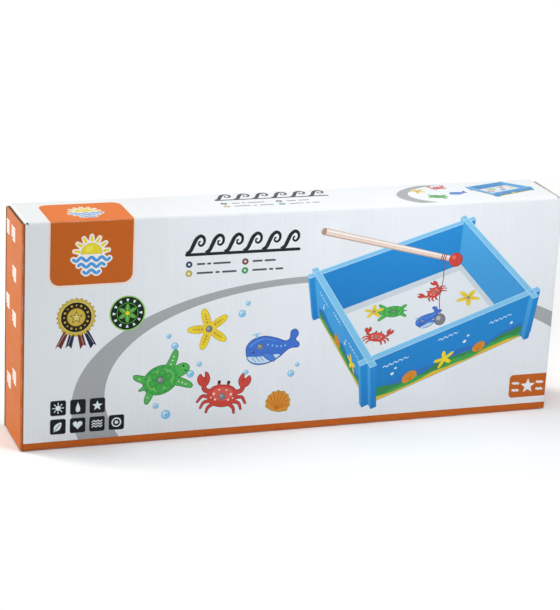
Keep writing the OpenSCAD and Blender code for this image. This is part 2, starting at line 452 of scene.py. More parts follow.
def shell_motif():
    out = []
    t = np.radians(np.linspace(-28, 208, 44))
    rim = 8.4 + 0.45 * np.cos(np.linspace(0, 9 * 2 * math.pi, 44))
    fan = np.concatenate([np.stack([rim * np.cos(t), rim * np.sin(t) - 0.5], 1), [(-2.6, -6.6), (2.6, -6.6)]])
    out += [(GOLD_DEEP, grown(fan, 0.4)), (ORANGE * [1.25, 2.4, 3.0], fan)]
    for k in range(8):
        a = math.radians(-10 + 200 * (k + 0.5) / 8)
        out.append((ORANGE, stroke([(0, -5.4), (7.6 * math.cos(a), 7.6 * math.sin(a) - 0.5)], 0.35, 0.7, False)))
    return out


def bubble(x, y, r):
    return [
        (SKY * [0.8, 0.86, 0.95], circle(x, y, r, 28)),
        (SKY, circle(x, y, 0.86 * r, 26)),
        (SKY_PALE, circle(x - 0.08 * r, y + 0.12 * r, 0.58 * r, 22)),
        (SKY, circle(x + 0.06 * r, y - 0.06 * r, 0.44 * r, 20)),
        (np.array([0.93, 0.96, 0.98]), circle(x - 0.34 * r, y + 0.36 * r, 0.2 * r, 12)),
    ]


def running_waves(x0, x1, y0, high, n=6):
    """An old border pattern: a row of breaking waves on a bar."""
    out = []
    step = (x1 - x0) / n
    s = high / 13.0
    for k in range(n):
        o = x0 + k * step
        w = step / 12.1
        pts = [(0.2, 0.9), (2.6, 2.6), (4.4, 6.2), (6.2, 9.8), (8.8, 11.6), (11.0, 10.2), (11.2, 7.4), (9.6, 5.6), (7.9, 6.2), (7.9, 7.9), (9.0, 8.2)]
        line = smooth([(o + w * a, y0 + s * b) for a, b in pts], 5, False)
        width = np.interp(np.linspace(0, 1, len(line)), [0, 0.25, 0.5, 0.8, 1], [2.3, 2.5, 1.8, 1.2, 0.9]) * s
        step_ = np.gradient(line, axis=0)
        step_ /= np.linalg.norm(step_, axis=1)[:, None]
        side = np.stack([-step_[:, 1], step_[:, 0]], 1) * width[:, None] / 2
        out.append((INK, np.concatenate([line + side, (line - side)[::-1]])))
    out.append((INK, rrect(x0 - 0.6, y0 - 0.7 * s, x1 + 0.6, y0 + 1.2 * s, 0.7 * s)))
    return out


def rows_of_marks(x0, y0, y1, size=1.0):
    """Two columns of coloured dots, each with a short line of dashes."""
    out = []
    cols = ((0.0, (7.0, 13.5, 1.2, 11.6)), (35.7, (40.4, 5.6, 1.2, 8.0)))
    rim = [(NAVY * 1.6, MAROON * 1.5), (GOLD, GREEN_DEEP * 2)]
    for i, (cx, _) in enumerate(cols):
        for j, cy in enumerate((y0, y1)):
            out.append((TEXT * 3.2, circle(x0 + cx * size, cy, 2.15 * size, 22)))
            out.append((rim[j][i], circle(x0 + cx * size, cy, 1.85 * size, 20)))
            out.append((WHITE, circle(x0 + cx * size, cy, 0.75 * size, 14)))
    dashes = {
        0: [[(4.9, 10.2), (11.4, 14.0), (15.2, 26.4)], [(4.9, 15.4), (16.8, 19.6), (21.0, 30.4)]],
        1: [[(40.4, 46.8), (48.2, 55.4)], [(40.4, 49.8), (51.2, 54.0), (55.4, 60.4)]],
    }
    for col in dashes.values():
        for j, row in enumerate(col):
            cy = (y0, y1)[j]
            for a, b in row:
                out.append((TEXT, rrect(x0 + a * size, cy - 0.62 * size, x0 + b * size, cy + 0.62 * size, 0.55 * size, 4)))
    return out


def sun_over_waves():
    """Emblem of plain figures: half a sun that rises over three rows of ripples."""
    t = np.radians(np.linspace(0, 180, 34))
    sun = np.stack([5.6 * np.cos(t), 1.3 + 5.6 * np.sin(t)], 1)
    rays = [
        stroke([(7.0 * math.cos(a), 1.6 + 7.0 * math.sin(a)), (9.4 * math.cos(a), 1.6 + 9.4 * math.sin(a))], 1.6, 0.9)
        for a in np.radians(np.linspace(8, 172, 7))
    ]
    ripples = []
    for k, n in enumerate((3.5, 2.5, 1.5)):  # the crests of each row stand over those of the next
        t = np.linspace(-0.5, 0.5, int(12 * n) + 1)
        y = -1.7 - 3.5 * k + 0.95 * np.cos(2 * math.pi * n * t)
        ripples.append(stroke(np.stack([5.6 * n * t, y], 1), 1.7))
    halo = np.array([0.95, 0.90, 0.84])
    out = [(halo, grown(p, 0.85)) for p in [sun, *rays, *ripples]]
    out.append((halo, np.concatenate([sun * [1.30, 1.18] + [0, -0.2], [(-7.2, -0.6), (7.2, -0.6)]])))
    out += [(YELLOW_DEEP, grown(sun, 0.25))]
    out += [(YELLOW, p) for p in [sun, *rays]]
    out.append((YELLOW * [1.0, 1.18, 3.5], ellipse(-1.3, 4.1, 2.2, 1.5, 0.5, 22)))
    out += [(SKY * [0.35, 0.62, 0.95], p) for p in ripples]
    return out


def rosette(x, y):
    out = []
    tails = [(-5.6, -11.0, MAROON), (-1.9, -4.6, NAVY), (1.9, 4.6, MAROON), (5.6, 11.0, NAVY)]
    for a, b, c in tails:
        s = 1 if b > 0 else -1
        p = np.array([(a - 1.7, -8.0), (a + 1.7, -8.0), (b + 1.9, -19.2 + 0.6 * s), (b + 0.1, -17.6), (b - 1.9, -19.8 - 0.6 * s)])
        out.append((c * 1.0, p + [x, y]))
        mid = stroke([(a, -8.2), (b, -17.0)], 0.32, 0.32, False)
        out.append((CREAM * 0.55, mid + [x, y]))
    n = 24
    t = np.linspace(0, 2 * math.pi, n * 6, endpoint=False)
    r = 11.4 + 0.62 * np.cos(n * t)
    rim = np.stack([x + r * np.cos(t), y + r * np.sin(t)], 1)
    out.append((GOLD_DEEP, grown(rim, 0.3)))
    out.append((GOLD, rim))
    out.append((GOLD * [1.08, 1.2, 2.2], circle(x, y, 10.1, 48)))
    out.append((DARK, circle(x, y, 9.4, 48)))
    for k in range(16):
        a = 2 * math.pi * k / 16
        out.append((GOLD, circle(x + 7.5 * math.cos(a), y + 7.5 * math.sin(a), 0.72 if k % 2 else 0.5, 12)))
    out.append((GOLD_DEEP, circle(x, y, 5.75, 36)))
    out.append((GOLD, circle(x, y, 5.3, 36)))
    out.append((DARK, star(x, y - 0.1, 4.4, 1.85)))
    out.append((GOLD * [1.1, 1.3, 3], star(x, y - 0.1, 3.4, 1.42)))
    return out


def flower_disc(x, y):
    out = [
        (LIME, circle(x, y, 11.2, 64)),
        (PINE, circle(x, y, 10.4, 60)),
    ]
    for k in range(12):
        a = 2 * math.pi * k / 12
        q = turned([(7.5, -0.42), (9.2, -0.85), (9.2, 0.85), (7.5, 0.42)], a)
        out.append((FOAM, q + [x, y]))
    out.append((LEAF, circle(x, y, 6.7, 44)))
    out.append((PINE, circle(x, y, 6.25, 42)))
    for k in range(6):
        a = math.pi / 6 + math.pi * k / 3
        petal = ellipse(3.3 * math.cos(a), 3.3 * math.sin(a), 2.45, 1.28, a, 20)
        out.append((LIME, petal + [x, y]))
        out.append((LEAF, petal * 0.94 + [x, y] + 0.02 * turned([(3.3, 0)], a)))
        out.append((LIME, stroke(np.array([(1.4 * math.cos(a), 1.4 * math.sin(a)), (4.9 * math.cos(a), 4.9 * math.sin(a))]) + [x, y], 0.42, 0.2, False)))
    out.append((PINE, circle(x, y, 1.75, 20)))
    out.append((YELLOW, circle(x, y, 1.4, 18)))
    return out


def tile(x, y, kind):
    """A small dark square with a plain white figure."""
    s = 4.75
    out = [(TEXT * 2.4, rrect(x - s - 0.18, y - s - 0.18, x + s + 0.18, y + s + 0.18, 1.35)), (BLACK, rrect(x - s, y - s, x + s, y + s, 1.2))]
    f = FOAM
    if kind == "star":
        out += [(f, star(x, y - 0.15, 3.4, 1.45))]
    elif kind == "ring":
        out += [(f, circle(x, y, 3.1)), (BLACK, circle(x, y, 2.3)), (f, circle(x, y, 1.15, 16))]
    elif kind == "heart":
        out += [(f, heart(x, y, 3.2))]
    elif kind == "drop":
        out += [(f, drop(x, y - 0.1, 3.3))]
    elif kind == "sun":
        out += [(f, circle(x, y, 1.7, 20))]
        out += [(f, stroke([(x + 2.3 * math.cos(a), y + 2.3 * math.sin(a)), (x + 3.3 * math.cos(a), y + 3.3 * math.sin(a))], 0.6)) for a in np.radians(np.arange(0, 360, 45))]
    elif kind == "waves":
        for k in (-1.6, 0.1, 1.8):
            t = np.linspace(-3.1, 3.1, 20)
            out += [(f, stroke(np.stack([x + t, y + k + 0.5 * np.sin(t * 2.4)], 1), 0.62))]
    elif kind == "leaf":
        body = leaf_outline(x, y, 6.6, 3.9, math.radians(52))
        tip = np.array([math.cos(math.radians(52)), math.sin(math.radians(52))])
        out += [(f, body), (BLACK, stroke([np.array([x, y]) - tip * 2.6, np.array([x, y]) + tip * 1.8], 0.4)), (f, stroke([np.array([x, y]) - tip * 3.9, np.array([x, y]) - tip * 2.8], 0.55))]
    return out


def tray_picture():
    """A plain open tray with straight walls, seen from above its near left corner, in the millimetres of a real one."""
    a, b, h, t, e = 152.0, 126.0, 100.0, 10.0, 17.0
    yaw, tilt, far = math.radians(27), math.radians(42), 1250.0
    cy, sy, ct, st = math.cos(yaw), math.sin(yaw), math.cos(tilt), math.sin(tilt)
    back = np.array([-sy * ct, -cy * ct, st])
    right = np.array([cy, -sy, 0.0])
    up = np.cross(back, right)

    def flat(points):
        p = np.asarray(points, float) - [0, 0, 20]
        depth = far - p @ back
        return np.stack([p @ right, p @ up], 1) * (far / depth)[:, None]

    light = {
        "top": lin(132, 200, 236),
        "y": lin(36, 138, 208),
        "x": lin(72, 163, 222),
        "rim": lin(200, 230, 246),
    }

    def shaded(colour, low, high):
        """The ink gets a little deeper towards the foot of a wall."""

        def at(p):
            k = np.clip((p[:, 1] - low) / max(high - low, 1e-6), 0, 1)
            return colour * (1.06 - 0.24 * (1 - k))[:, None] ** np.array([1.6, 1.1, 0.7])

        return at

    out = []
    floor = [(-a, -b, 0), (a, -b, 0), (a, b, 0), (-a, b, 0)]
    out.append((np.array([0.80, 0.83, 0.85]), flat(floor)))
    deep = [(-a, b, 0), (a, b, 0), (a, -b, 0), (a - 16, -b, 0), (a - 16, b - 22, 0), (-a, b - 22, 0)]
    out.append((np.array([0.62, 0.68, 0.73]), flat(deep)))

    def lying(x, y, size, turn):
        def place(p):
            q = turned(np.asarray(p, float) * size, turn) + [x, y]
            return flat(np.concatenate([q, np.zeros((len(q), 1))], 1))

        return place

    for drawing, x, y, s, r in (
        (turtle(), -30, 62, 1.75, 2.7),
        (crab(), 62, 70, 1.7, 0.5),
        (starfish(), 112, 20, 1.8, 0.2),
        (whale(), 20, 6, 1.75, 0.35),
        (crab(), -84, 14, 1.65, -0.7),
        (starfish(), -62, 82, 1.45, 0.8),
        (whale(), 96, -62, 1.6, 2.4),
        (turtle(), -2, -54, 1.65, -0.6),
    ):
        place = lying(x, y, s, r)
        for colour, *polys in drawing:
            if np.ptp(polys[0], axis=0).max() > 1.1:
                out.append((colour, *[place(p) for p in polys]))

    def box(x0, x1, y0, y1, z0=0.0, z1=h):
        faces = []
        # the faces towards the viewer are those on -X, on -Y and on top
        fy = [(x0, y0, z0), (x1, y0, z0), (x1, y0, z1), (x0, y0, z1)]
        fx = [(x0, y1, z0), (x0, y0, z0), (x0, y0, z1), (x0, y1, z1)]
        fz = [(x0, y0, z1), (x1, y0, z1), (x1, y1, z1), (x0, y1, z1)]
        for face, key in ((fy, "y"), (fx, "x")):
            q = flat(face)
            faces.append((shaded(light[key], q[:, 1].min(), q[:, 1].max()), q))
        q = flat(fz)
        faces.append((light["rim"], grown(q, 0.9)))
        faces.append((light["top"], q))
        return faces

    m = t / 2
    walls = [
        box(a - m, a + m, b + m, b + e),
        box(a + m, a + e, b - m, b + m),
        box(-a + m, a - m, b - m, b + m),
        box(a - m, a + m, -b - m, b + m),
        box(-a - m, -a + m, b + m, b + e),
        box(-a - e, -a - m, b - m, b + m),
        box(a + m, a + e, -b - m, -b + m),
        box(a - m, a + m, -b - e, -b - m),
        box(-a - m, -a + m, -b - m, b + m),
        box(-a + m, a - m, -b - m, -b + m),
        box(-a - e, -a - m, -b - m, -b + m),
        box(-a - m, -a + m, -b - e, -b - m),
    ]
    for k, w in enumerate(walls):
        out += w
        if k in (8, 9):  # plain dunes, ripples and shells along the foot of the near walls

            def on_wall(p, end=k == 8):
                p = np.asarray(p, float)
                if end:
                    return flat(np.stack([np.full(len(p), -a - m), -p[:, 0], p[:, 1]], 1))
                return flat(np.stack([p[:, 0], np.full(len(p), -b - m), p[:, 1]], 1))

            half = (a if k == 9 else b) - 8.0
            line = np.linspace(-half, half, 90)
            for colour, height, swell, pace, shift in (
                (BLUE * [0.6, 1.0, 0.85], 33.0, 5.5, 0.060, 0.4),
                (GREEN_DEEP * [2.6, 1.5, 2.6], 24.0, 6.0, 0.047, 2.0),
                (GREEN * [1.1, 0.92, 1.1], 15.0, 4.0, 0.071, 0.9),
                (YELLOW * [0.86, 0.72, 1.6], 7.0, 2.6, 0.052, 3.1),
            ):
                top = height + swell * np.sin(line * pace + shift) + 0.35 * swell * np.sin(line * pace * 2.3 + 2 * shift)
                foot = np.full_like(line, 0.6)
                out.append((colour, on_wall(np.concatenate([np.stack([line, top], 1), np.stack([line, foot], 1)[::-1]]))))
            for x, y, n in ((-half + 14, 74, 5), (-30, 82, 4), (half - 74, 70, 5)):
                run = np.linspace(0, n * 9, n * 9 + 1)
                out.append((light["rim"], on_wall(stroke(np.stack([x + run, y + 2.2 * np.sin(run * 0.7)], 1), 2.0, 1.4))))
            for x, y, r in ((-half + 30, 50, 3.2), (-half + 36, 60, 2.2), (22, 52, 3.4), (28, 63, 2.4), (half - 26, 48, 3.0)):
                out.append((FOAM, on_wall(circle(x, y, r, 14))))
            for x, y, size, turn in ((-half + 62, 24, 1.6, 0.3), (54, 22, 1.5, -0.35)) if k == 9 else ((-20, 24, 1.6, 0.2),):
                out += [(c, on_wall(turned(np.asarray(p) * size, turn) + [x, y])) for c, p in shell_motif()]
            out += [(c, on_wall(turned(np.asarray(p) * 1.5, 0.12) + [-16 if k == 9 else 52, 30])) for c, p in starfish()[:2]]
    every = np.concatenate([p for _, *ps in out for p in ps])
    return out, every.min(0), every.max(0)


def fit_picture(x0, y0, x1, y1, then):
    drawing, lo, hi = tray_picture()
    size = min((x1 - x0) / (hi[0] - lo[0]), (y1 - y0) / (hi[1] - lo[1]))
    off = np.array([(x0 + x1) / 2, (y0 + y1) / 2]) - size * (lo + hi) / 2

    def place(p):
        return then(np.asarray(p, float) * size + off)

    for colour, *polys in drawing:
        if callable(colour):
            flat_colour = colour

            def back_to(p, f=flat_colour):
                q = np.asarray(p, float)
                base = then(np.zeros((1, 2)))[0]
                return f((np.stack([q[:, 0] - base[0], base[1] - q[:, 1]], 1) - off) / size)

            ink(back_to, *[place(p) for p in polys])
        else:
            ink(colour, *[place(p) for p in polys])
    return size


# ---------------------------------------------------------------- the print
# the grey sweep across the front, between two ellipses
sweep_out = ellipse(52.08, 6.89, 197.13, 91.98, -0.1234, 200)
sweep_in = ellipse(49.04, 14.65, 173.44, 79.87, -0.1322, 190)
ink(GREY, on_front(sweep_out), on_front(sweep_in[::-1]))
# nothing of it on the other panels
ink(WHITE, [(-HL - 60, V5), (HL + 60, V5), (HL + 60, V9 + 5), (-HL - 60, V9 + 5)])
# the orange foot of the front runs under the whole bottom panel and starts on the lap
ink(ORANGE, [(-HL - 1, VF - 5.2), (HL + 1, VF - 5.2), (HL + 1, V7 - 0.0), (-HL - 1, V7)])
ink(ORANGE, [(-W_DUST - 1, V6 - 2), (-HL + 3, V6 - 2), (-HL + 3, V7 + 1), (-W_DUST - 1, V7 + 1)])
ink(ORANGE, [(W_DUST + 1, V6 - 2), (HL - 3, V6 - 2), (HL - 3, V7 + 1), (W_DUST + 1, V7 + 1)])
ink(WHITE, [(-W_DUST - 1, V6 - 2), (-181.5, V6 - 2), (-181.5, V7 + 1), (-W_DUST - 1, V7 + 1)])
ink(WHITE, [(W_DUST + 1, V6 - 2), (181.5, V6 - 2), (181.5, V7 + 1), (W_DUST + 1, V7 + 1)])
ink(ORANGE, [(-HL - 1, V7 - 0.5), (HL + 1, V7 - 0.5), (HL + 1, V8 + 4.5), (-HL - 1, V8 + 4.5)])
# the foot of the back
ink(ORANGE, [(-HL - 1, -1), (HL + 1, -1), (HL + 1, 5.2), (-HL - 1, 5.2)])



def paler(since):
    """Painted sheen: the shapes added since then get a blue-grey veil mixed into their ink, which makes the print on
    the top paler, standing in for the sheen it catches.
    """
    painted_sheen = np.array([0.50, 0.53, 0.56])
    for n in range(since, len(shapes)):
        colour, polys, low, high = shapes[n]
        if callable(colour):
            shapes[n] = (lambda p, full=colour: 0.80 * full(p) + 0.20 * painted_sheen, polys, low, high)
        else:
            shapes[n] = (0.82 * np.asarray(colour) + 0.18 * painted_sheen, polys, low, high)


# orange tab from the front over the edge on to the top
tab = rrect(-158.1, VT - 13.0, -107.5, VF - 104.4, 6.0, 9)
ink([0.95, 0.76, 0.65], grown(tab, 1.25))
ink(ORANGE * [0.80, 0.84, 1.2], tab)
ink(ORANGE, grown(tab, -0.45))
# painted sheen: on the top the same ink is given a lighter orange, which stands in for the light and sheen that the top
# catches
upper = rrect(-157.7, VT - 12.6, -107.9, V4 + 30, 5.6, 9)
upper[:, 1] = np.minimum(upper[:, 1], (V3 + V4) / 2)
ink(ORANGE_PALE, upper)
put(sun_over_waves(), moved(-133.0, 122.0, 1.12))
so_far = len(shapes)
put(sun_over_waves(), moved(-133.0, -5.6, 1.0, 0, on_top))
paler(so_far)

# running-wave border and the two rows of marks under it, on the front and again on the top
put(running_waves(-74.4, -1.9, 119.0, 13.2), on_front)
put(rows_of_marks(-72.3, 113.1, 107.4), on_front)
so_far = len(shapes)
put(running_waves(-47.5, 26.0, 6.6, 12.6), on_top)
put(rows_of_marks(-44.6, -0.9, -7.2), on_top)
paler(so_far)

# round ornaments
put(flower_disc(-110.0, 84.6), on_front)
put(rosette(-141.6, 84.0), on_front)

# tiles
for px, kind in ((-151.9, "sun"), (-139.6, "drop"), (-127.5, "star")):
    put(tile(px, 26.6, kind), on_front)
for px, kind in ((-151.9, "leaf"), (-139.6, "heart"), (-127.5, "waves"), (-115.3, "ring")):
    put(tile(px, 14.6, kind), on_front)

# sea figures strewn on the front, with bubbles
put(turtle(), moved(-88.0, 40.0, 1.02, 0.42))
put(starfish(), moved(-58.0, 71.0, 1.02, 0.30))
put(crab(), moved(-48.0, 26.5, 1.03, -0.10))
put(whale(), moved(-17.5, 55.0, 1.0, 0.14))
put(shell_motif(), moved(-11.0, 19.5, 0.92, -0.25))
for x, y, r in ((-79.5, 61.5, 2.3), (-83.5, 68.0, 1.6), (-37.0, 79.5, 2.4), (-33.4, 86.0, 1.6), (-63.5, 48.5, 1.7), (-69.0, 42.6, 2.4), (-33.0, 41.0, 1.6), (-84.0, 17.0, 3.0), (-90.6, 23.2, 1.9), (-3.4, 38.0, 2.3), (0.6, 43.6, 1.5)):
    put(bubble(x, y, r), on_front)

# the picture at the right of the front
fit_picture(4.0, 9.0, 165.0, 136.0, on_front)
rod = np.array([(14.0, 129.5), (101.0, 107.0)])
along = (rod[1] - rod[0]) / np.linalg.norm(rod[1] - rod[0])
across = np.array([-along[1], along[0]])
tip = rod[1] - along * 6.0
string = smooth([tip, tip + [0.7, -13.0], tip + [-1.0, -27.0], tip + [0.2, -38.0]], 8, False)
ink(MAROON * 1.3, on_front(stroke(string, 0.55)))
for colour, r, off in ((STEEL * 0.4, 3.9, 0.0), (STEEL, 3.5, 0.0), (STEEL * 2.2, 1.5, 1.0)):
    ink(colour, on_front(circle(*(string[-1] + [-off, off - 3.4]), r, 30)))
ink(WOOD * [0.62, 0.55, 0.5], on_front(stroke(rod, 4.6, 3.8)))
ink(WOOD, on_front(stroke(rod + across * 0.25, 3.6, 2.9)))
ink(CREAM * [1.05, 1.2, 1.3], on_front(stroke(rod + across * 1.0, 1.0, 0.8)))
ink(WOOD * [0.5, 0.42, 0.36], on_front(ellipse(*rod[0], 1.5, 2.3, math.atan2(along[1], along[0]))))
for k in (-1.3, 0.0, 1.3):
    ink(MAROON * 1.3, on_front(stroke([tip + along * k + across * 2.2, tip + along * k - across * 2.2], 0.6)))
ball = rod[1] + along * 2.6
ink(RED_DEEP * 1.4, on_front(circle(*ball, 4.7, 34)))
ink(RED, on_front(circle(*(ball + [-0.15, 0.15]), 4.25, 34)))
ink(RED * [1.15, 2.6, 2.6], on_front(circle(*(ball + [-1.5, 1.6]), 1.4, 18)))

# tag at the lower right corner: a star between two pairs of ripples
ink(ORANGE, on_front(rrect(148.0, 9.6, 174.2, 25.3, 2.6, 7, (1, 0, 0, 1))))
PALE = np.array([0.88, 0.87, 0.86])
ink(PALE, on_front(star(161.3, 17.1, 5.3, 2.3)))
for x in (150.4, 167.4):
    for y in (19.4, 14.6):
        t = np.linspace(0, 1, 13)
        ink(PALE, on_front(stroke(np.stack([x + 4.2 * t, y + 0.6 * np.sin(4 * math.pi * t)], 1), 1.15)))

# a small version of the picture and the figures on the top
mini = ellipse(128.0, -6.5, 59.0, 29.5, -0.05, 90)
mini_in = ellipse(129.5, -5.5, 52.5, 25.0, -0.06, 84)
half_top = lambda p: np.stack([np.minimum(p[:, 0], 131.0), np.clip(VT - p[:, 1], V2 + 3.0, V3 - 0.6)], 1)
so_far = len(shapes)
ink(GREY, half_top(mini), half_top(mini_in[::-1]))
put(starfish(), moved(86.5, 6.6, 0.40, 0.3, on_top))
put(crab(), moved(102.6, 11.2, 0.36, 0.1, on_top))
put(turtle(), moved(94.0, -7.4, 0.38, -0.3, on_top))
put(whale(), moved(110.6, -2.6, 0.36, 0.2, on_top))
fit_picture(119.5, -15.2, 166.5, 19.6, on_top)
paler(so_far)

# both ends are orange, right round the fold, with a white tuck tab
for s, w in ((-1, 173.25), (1, 175.1)):
    ink(ORANGE * [1.05, 1.14, 0.92], [(s * w, V4 - 3), (s * (W_TAB + 5.5), V4 - 3), (s * (W_TAB + 5.5), V5 + 3), (s * w, V5 + 3)])
    ink(WHITE, [(s * (W_TAB + 5.5), V4 - 3), (s * (W_TIP + 3), V4 - 3), (s * (W_TIP + 3), V5 + 3), (s * (W_TAB + 5.5), V5 + 3)])
# painted shade: a thin band of darker orange along the left fold, where the fold's shade falls
ink(ORANGE * [0.5, 0.55, 0.8], [(-173.75, V4 - 3), (-173.2, V4 - 3), (-173.2, V5 + 3), (-173.75, V5 + 3)])
# blocks of plain bars on the left end
for y, z in ((17.5, 131.5), (1.75, 131.0), (-2.0, 107.0), (15.5, 85.0), (-2.5, 79.0), (10.5, 35.0), (-4.0, 42.0)):
    w = W_SIDE + (y + HD - R)
    for j, (a, b) in enumerate(((-5.2, 5.2), (-5.2, 4.5), (-5.2, 5.2), (-5.2, 4.9), (-5.2, 1.8))):
        bar = rrect(a, 3.4 - 1.85 * j - 0.75, b, 3.4 - 1.85 * j + 0.75, 0.5, 4)
        ink(np.array([0.92, 0.86, 0.81]), np.stack([-(w + bar[:, 0]), VF - (z + bar[:, 1])], 1))


# ---------------------------------------------------------------- from blank to mesh
def winding(points, polys):
    out = np.zeros(len(points), int)
    x, y = points[:, 0][:, None], points[:, 1][:, None]
    for poly in polys:
        x0, y0 = poly[:, 0], poly[:, 1]
        x1, y1 = np.roll(x0, -1), np.roll(y0, -1)
        for a in range(0, len(points), 4000):
            xs, ys = x[a : a + 4000], y[a : a + 4000]
            cross = (x1 - x0) * (ys - y0) - (xs - x0) * (y1 - y0)
            up = (y0 <= ys) & (y1 > ys) & (cross > 0)
            down = (y0 > ys) & (y1 <= ys) & (cross < 0)
            out[a : a + 4000] += up.sum(1) - down.sum(1)
    return out


def split_blank(outline, lines, points):
    """Triangles of the blank inside the outline, split along the print and the given lines."""
    lo, hi = outline.min(0) - 0.01, outline.max(0) + 0.01
    verts, edges = [], []

    def add(p, closed=True):
        i = len(verts)
        verts.extend(p.tolist())
        edges.extend((i + k, i + k + 1) for k in range(len(p) - 1))
        if closed:
            edges.append((i + len(p) - 1, i))

    add(outline)
    for a, b in lines:
        add(np.array([a, b], float), False)
    near = []
    for n, (_, polys, low, high) in enumerate(shapes):
        if (high < lo).any() or (low > hi).any():
            continue
        near.append(n)
        for p in polys:
            add(p)
    verts.extend(points.tolist())
    v, _, f, *_ = delaunay_2d_cdt([Vector(p) for p in verts], edges, [], 0, 5e-3)
    v = np.array([tuple(p) for p in v], float)
    f = np.array([tuple(t) for t in f if len(t) == 3], int)
    mid = v[f].mean(1)
    f = f[winding(mid, [outline]) != 0]
    e1, e2 = v[f[:, 1]] - v[f[:, 0]], v[f[:, 2]] - v[f[:, 0]]
    area = e1[:, 0] * e2[:, 1] - e1[:, 1] * e2[:, 0]
    f[area < 0] = f[area < 0][:, ::-1]
    used = np.unique(f)
    back = np.full(len(v), -1)
    back[used] = np.arange(len(used))
    v, f = v[used], back[f]
    # which ink each triangle takes: the last shape that covers it
    mid = v[f].mean(1)
    which = np.full(len(f), -1)
    for n in near:
        _, polys, low, high = shapes[n]
        k = np.nonzero((mid >= low).all(1) & (mid <= high).all(1))[0]
        if len(k):
            which[k[winding(mid[k], polys) != 0]] = n
    return v, f, which


def grid_points(outline, step, margin, seed):
    """Points strewn evenly inside the outline, so that the sheet can bend."""
    rng = np.random.default_rng(seed)
    lo, hi = outline.min(0), outline.max(0)
    xs = np.arange(lo[0] + step / 2, hi[0], step)
    ys = np.arange(lo[1] + step / 2, hi[1], step)
    p = np.stack(np.meshgrid(xs, ys), -1).reshape(-1, 2)
    p += rng.uniform(-0.18, 0.18, p.shape) * step
    p = p[winding(p, [outline]) != 0]
    a, b = outline, np.roll(outline, -1, 0)
    e = b - a
    t = np.clip(((p[:, None] - a) * e).sum(2) / np.maximum((e * e).sum(1), 1e-9), 0, 1)
    gap = np.linalg.norm(p[:, None] - (a + e * t[..., None]), axis=2).min(1)
    return p[gap > margin]


def boundary(f):
    """Edges with one triangle, in the triangle's direction."""
    e = np.concatenate([f[:, [0, 1]], f[:, [1, 2]], f[:, [2, 0]]])
    key = np.minimum(e[:, 0], e[:, 1]) * (e.max() + 1) + np.maximum(e[:, 0], e[:, 1])
    _, at, count = np.unique(key, return_index=True, return_counts=True)
    return e[at[count == 1]]


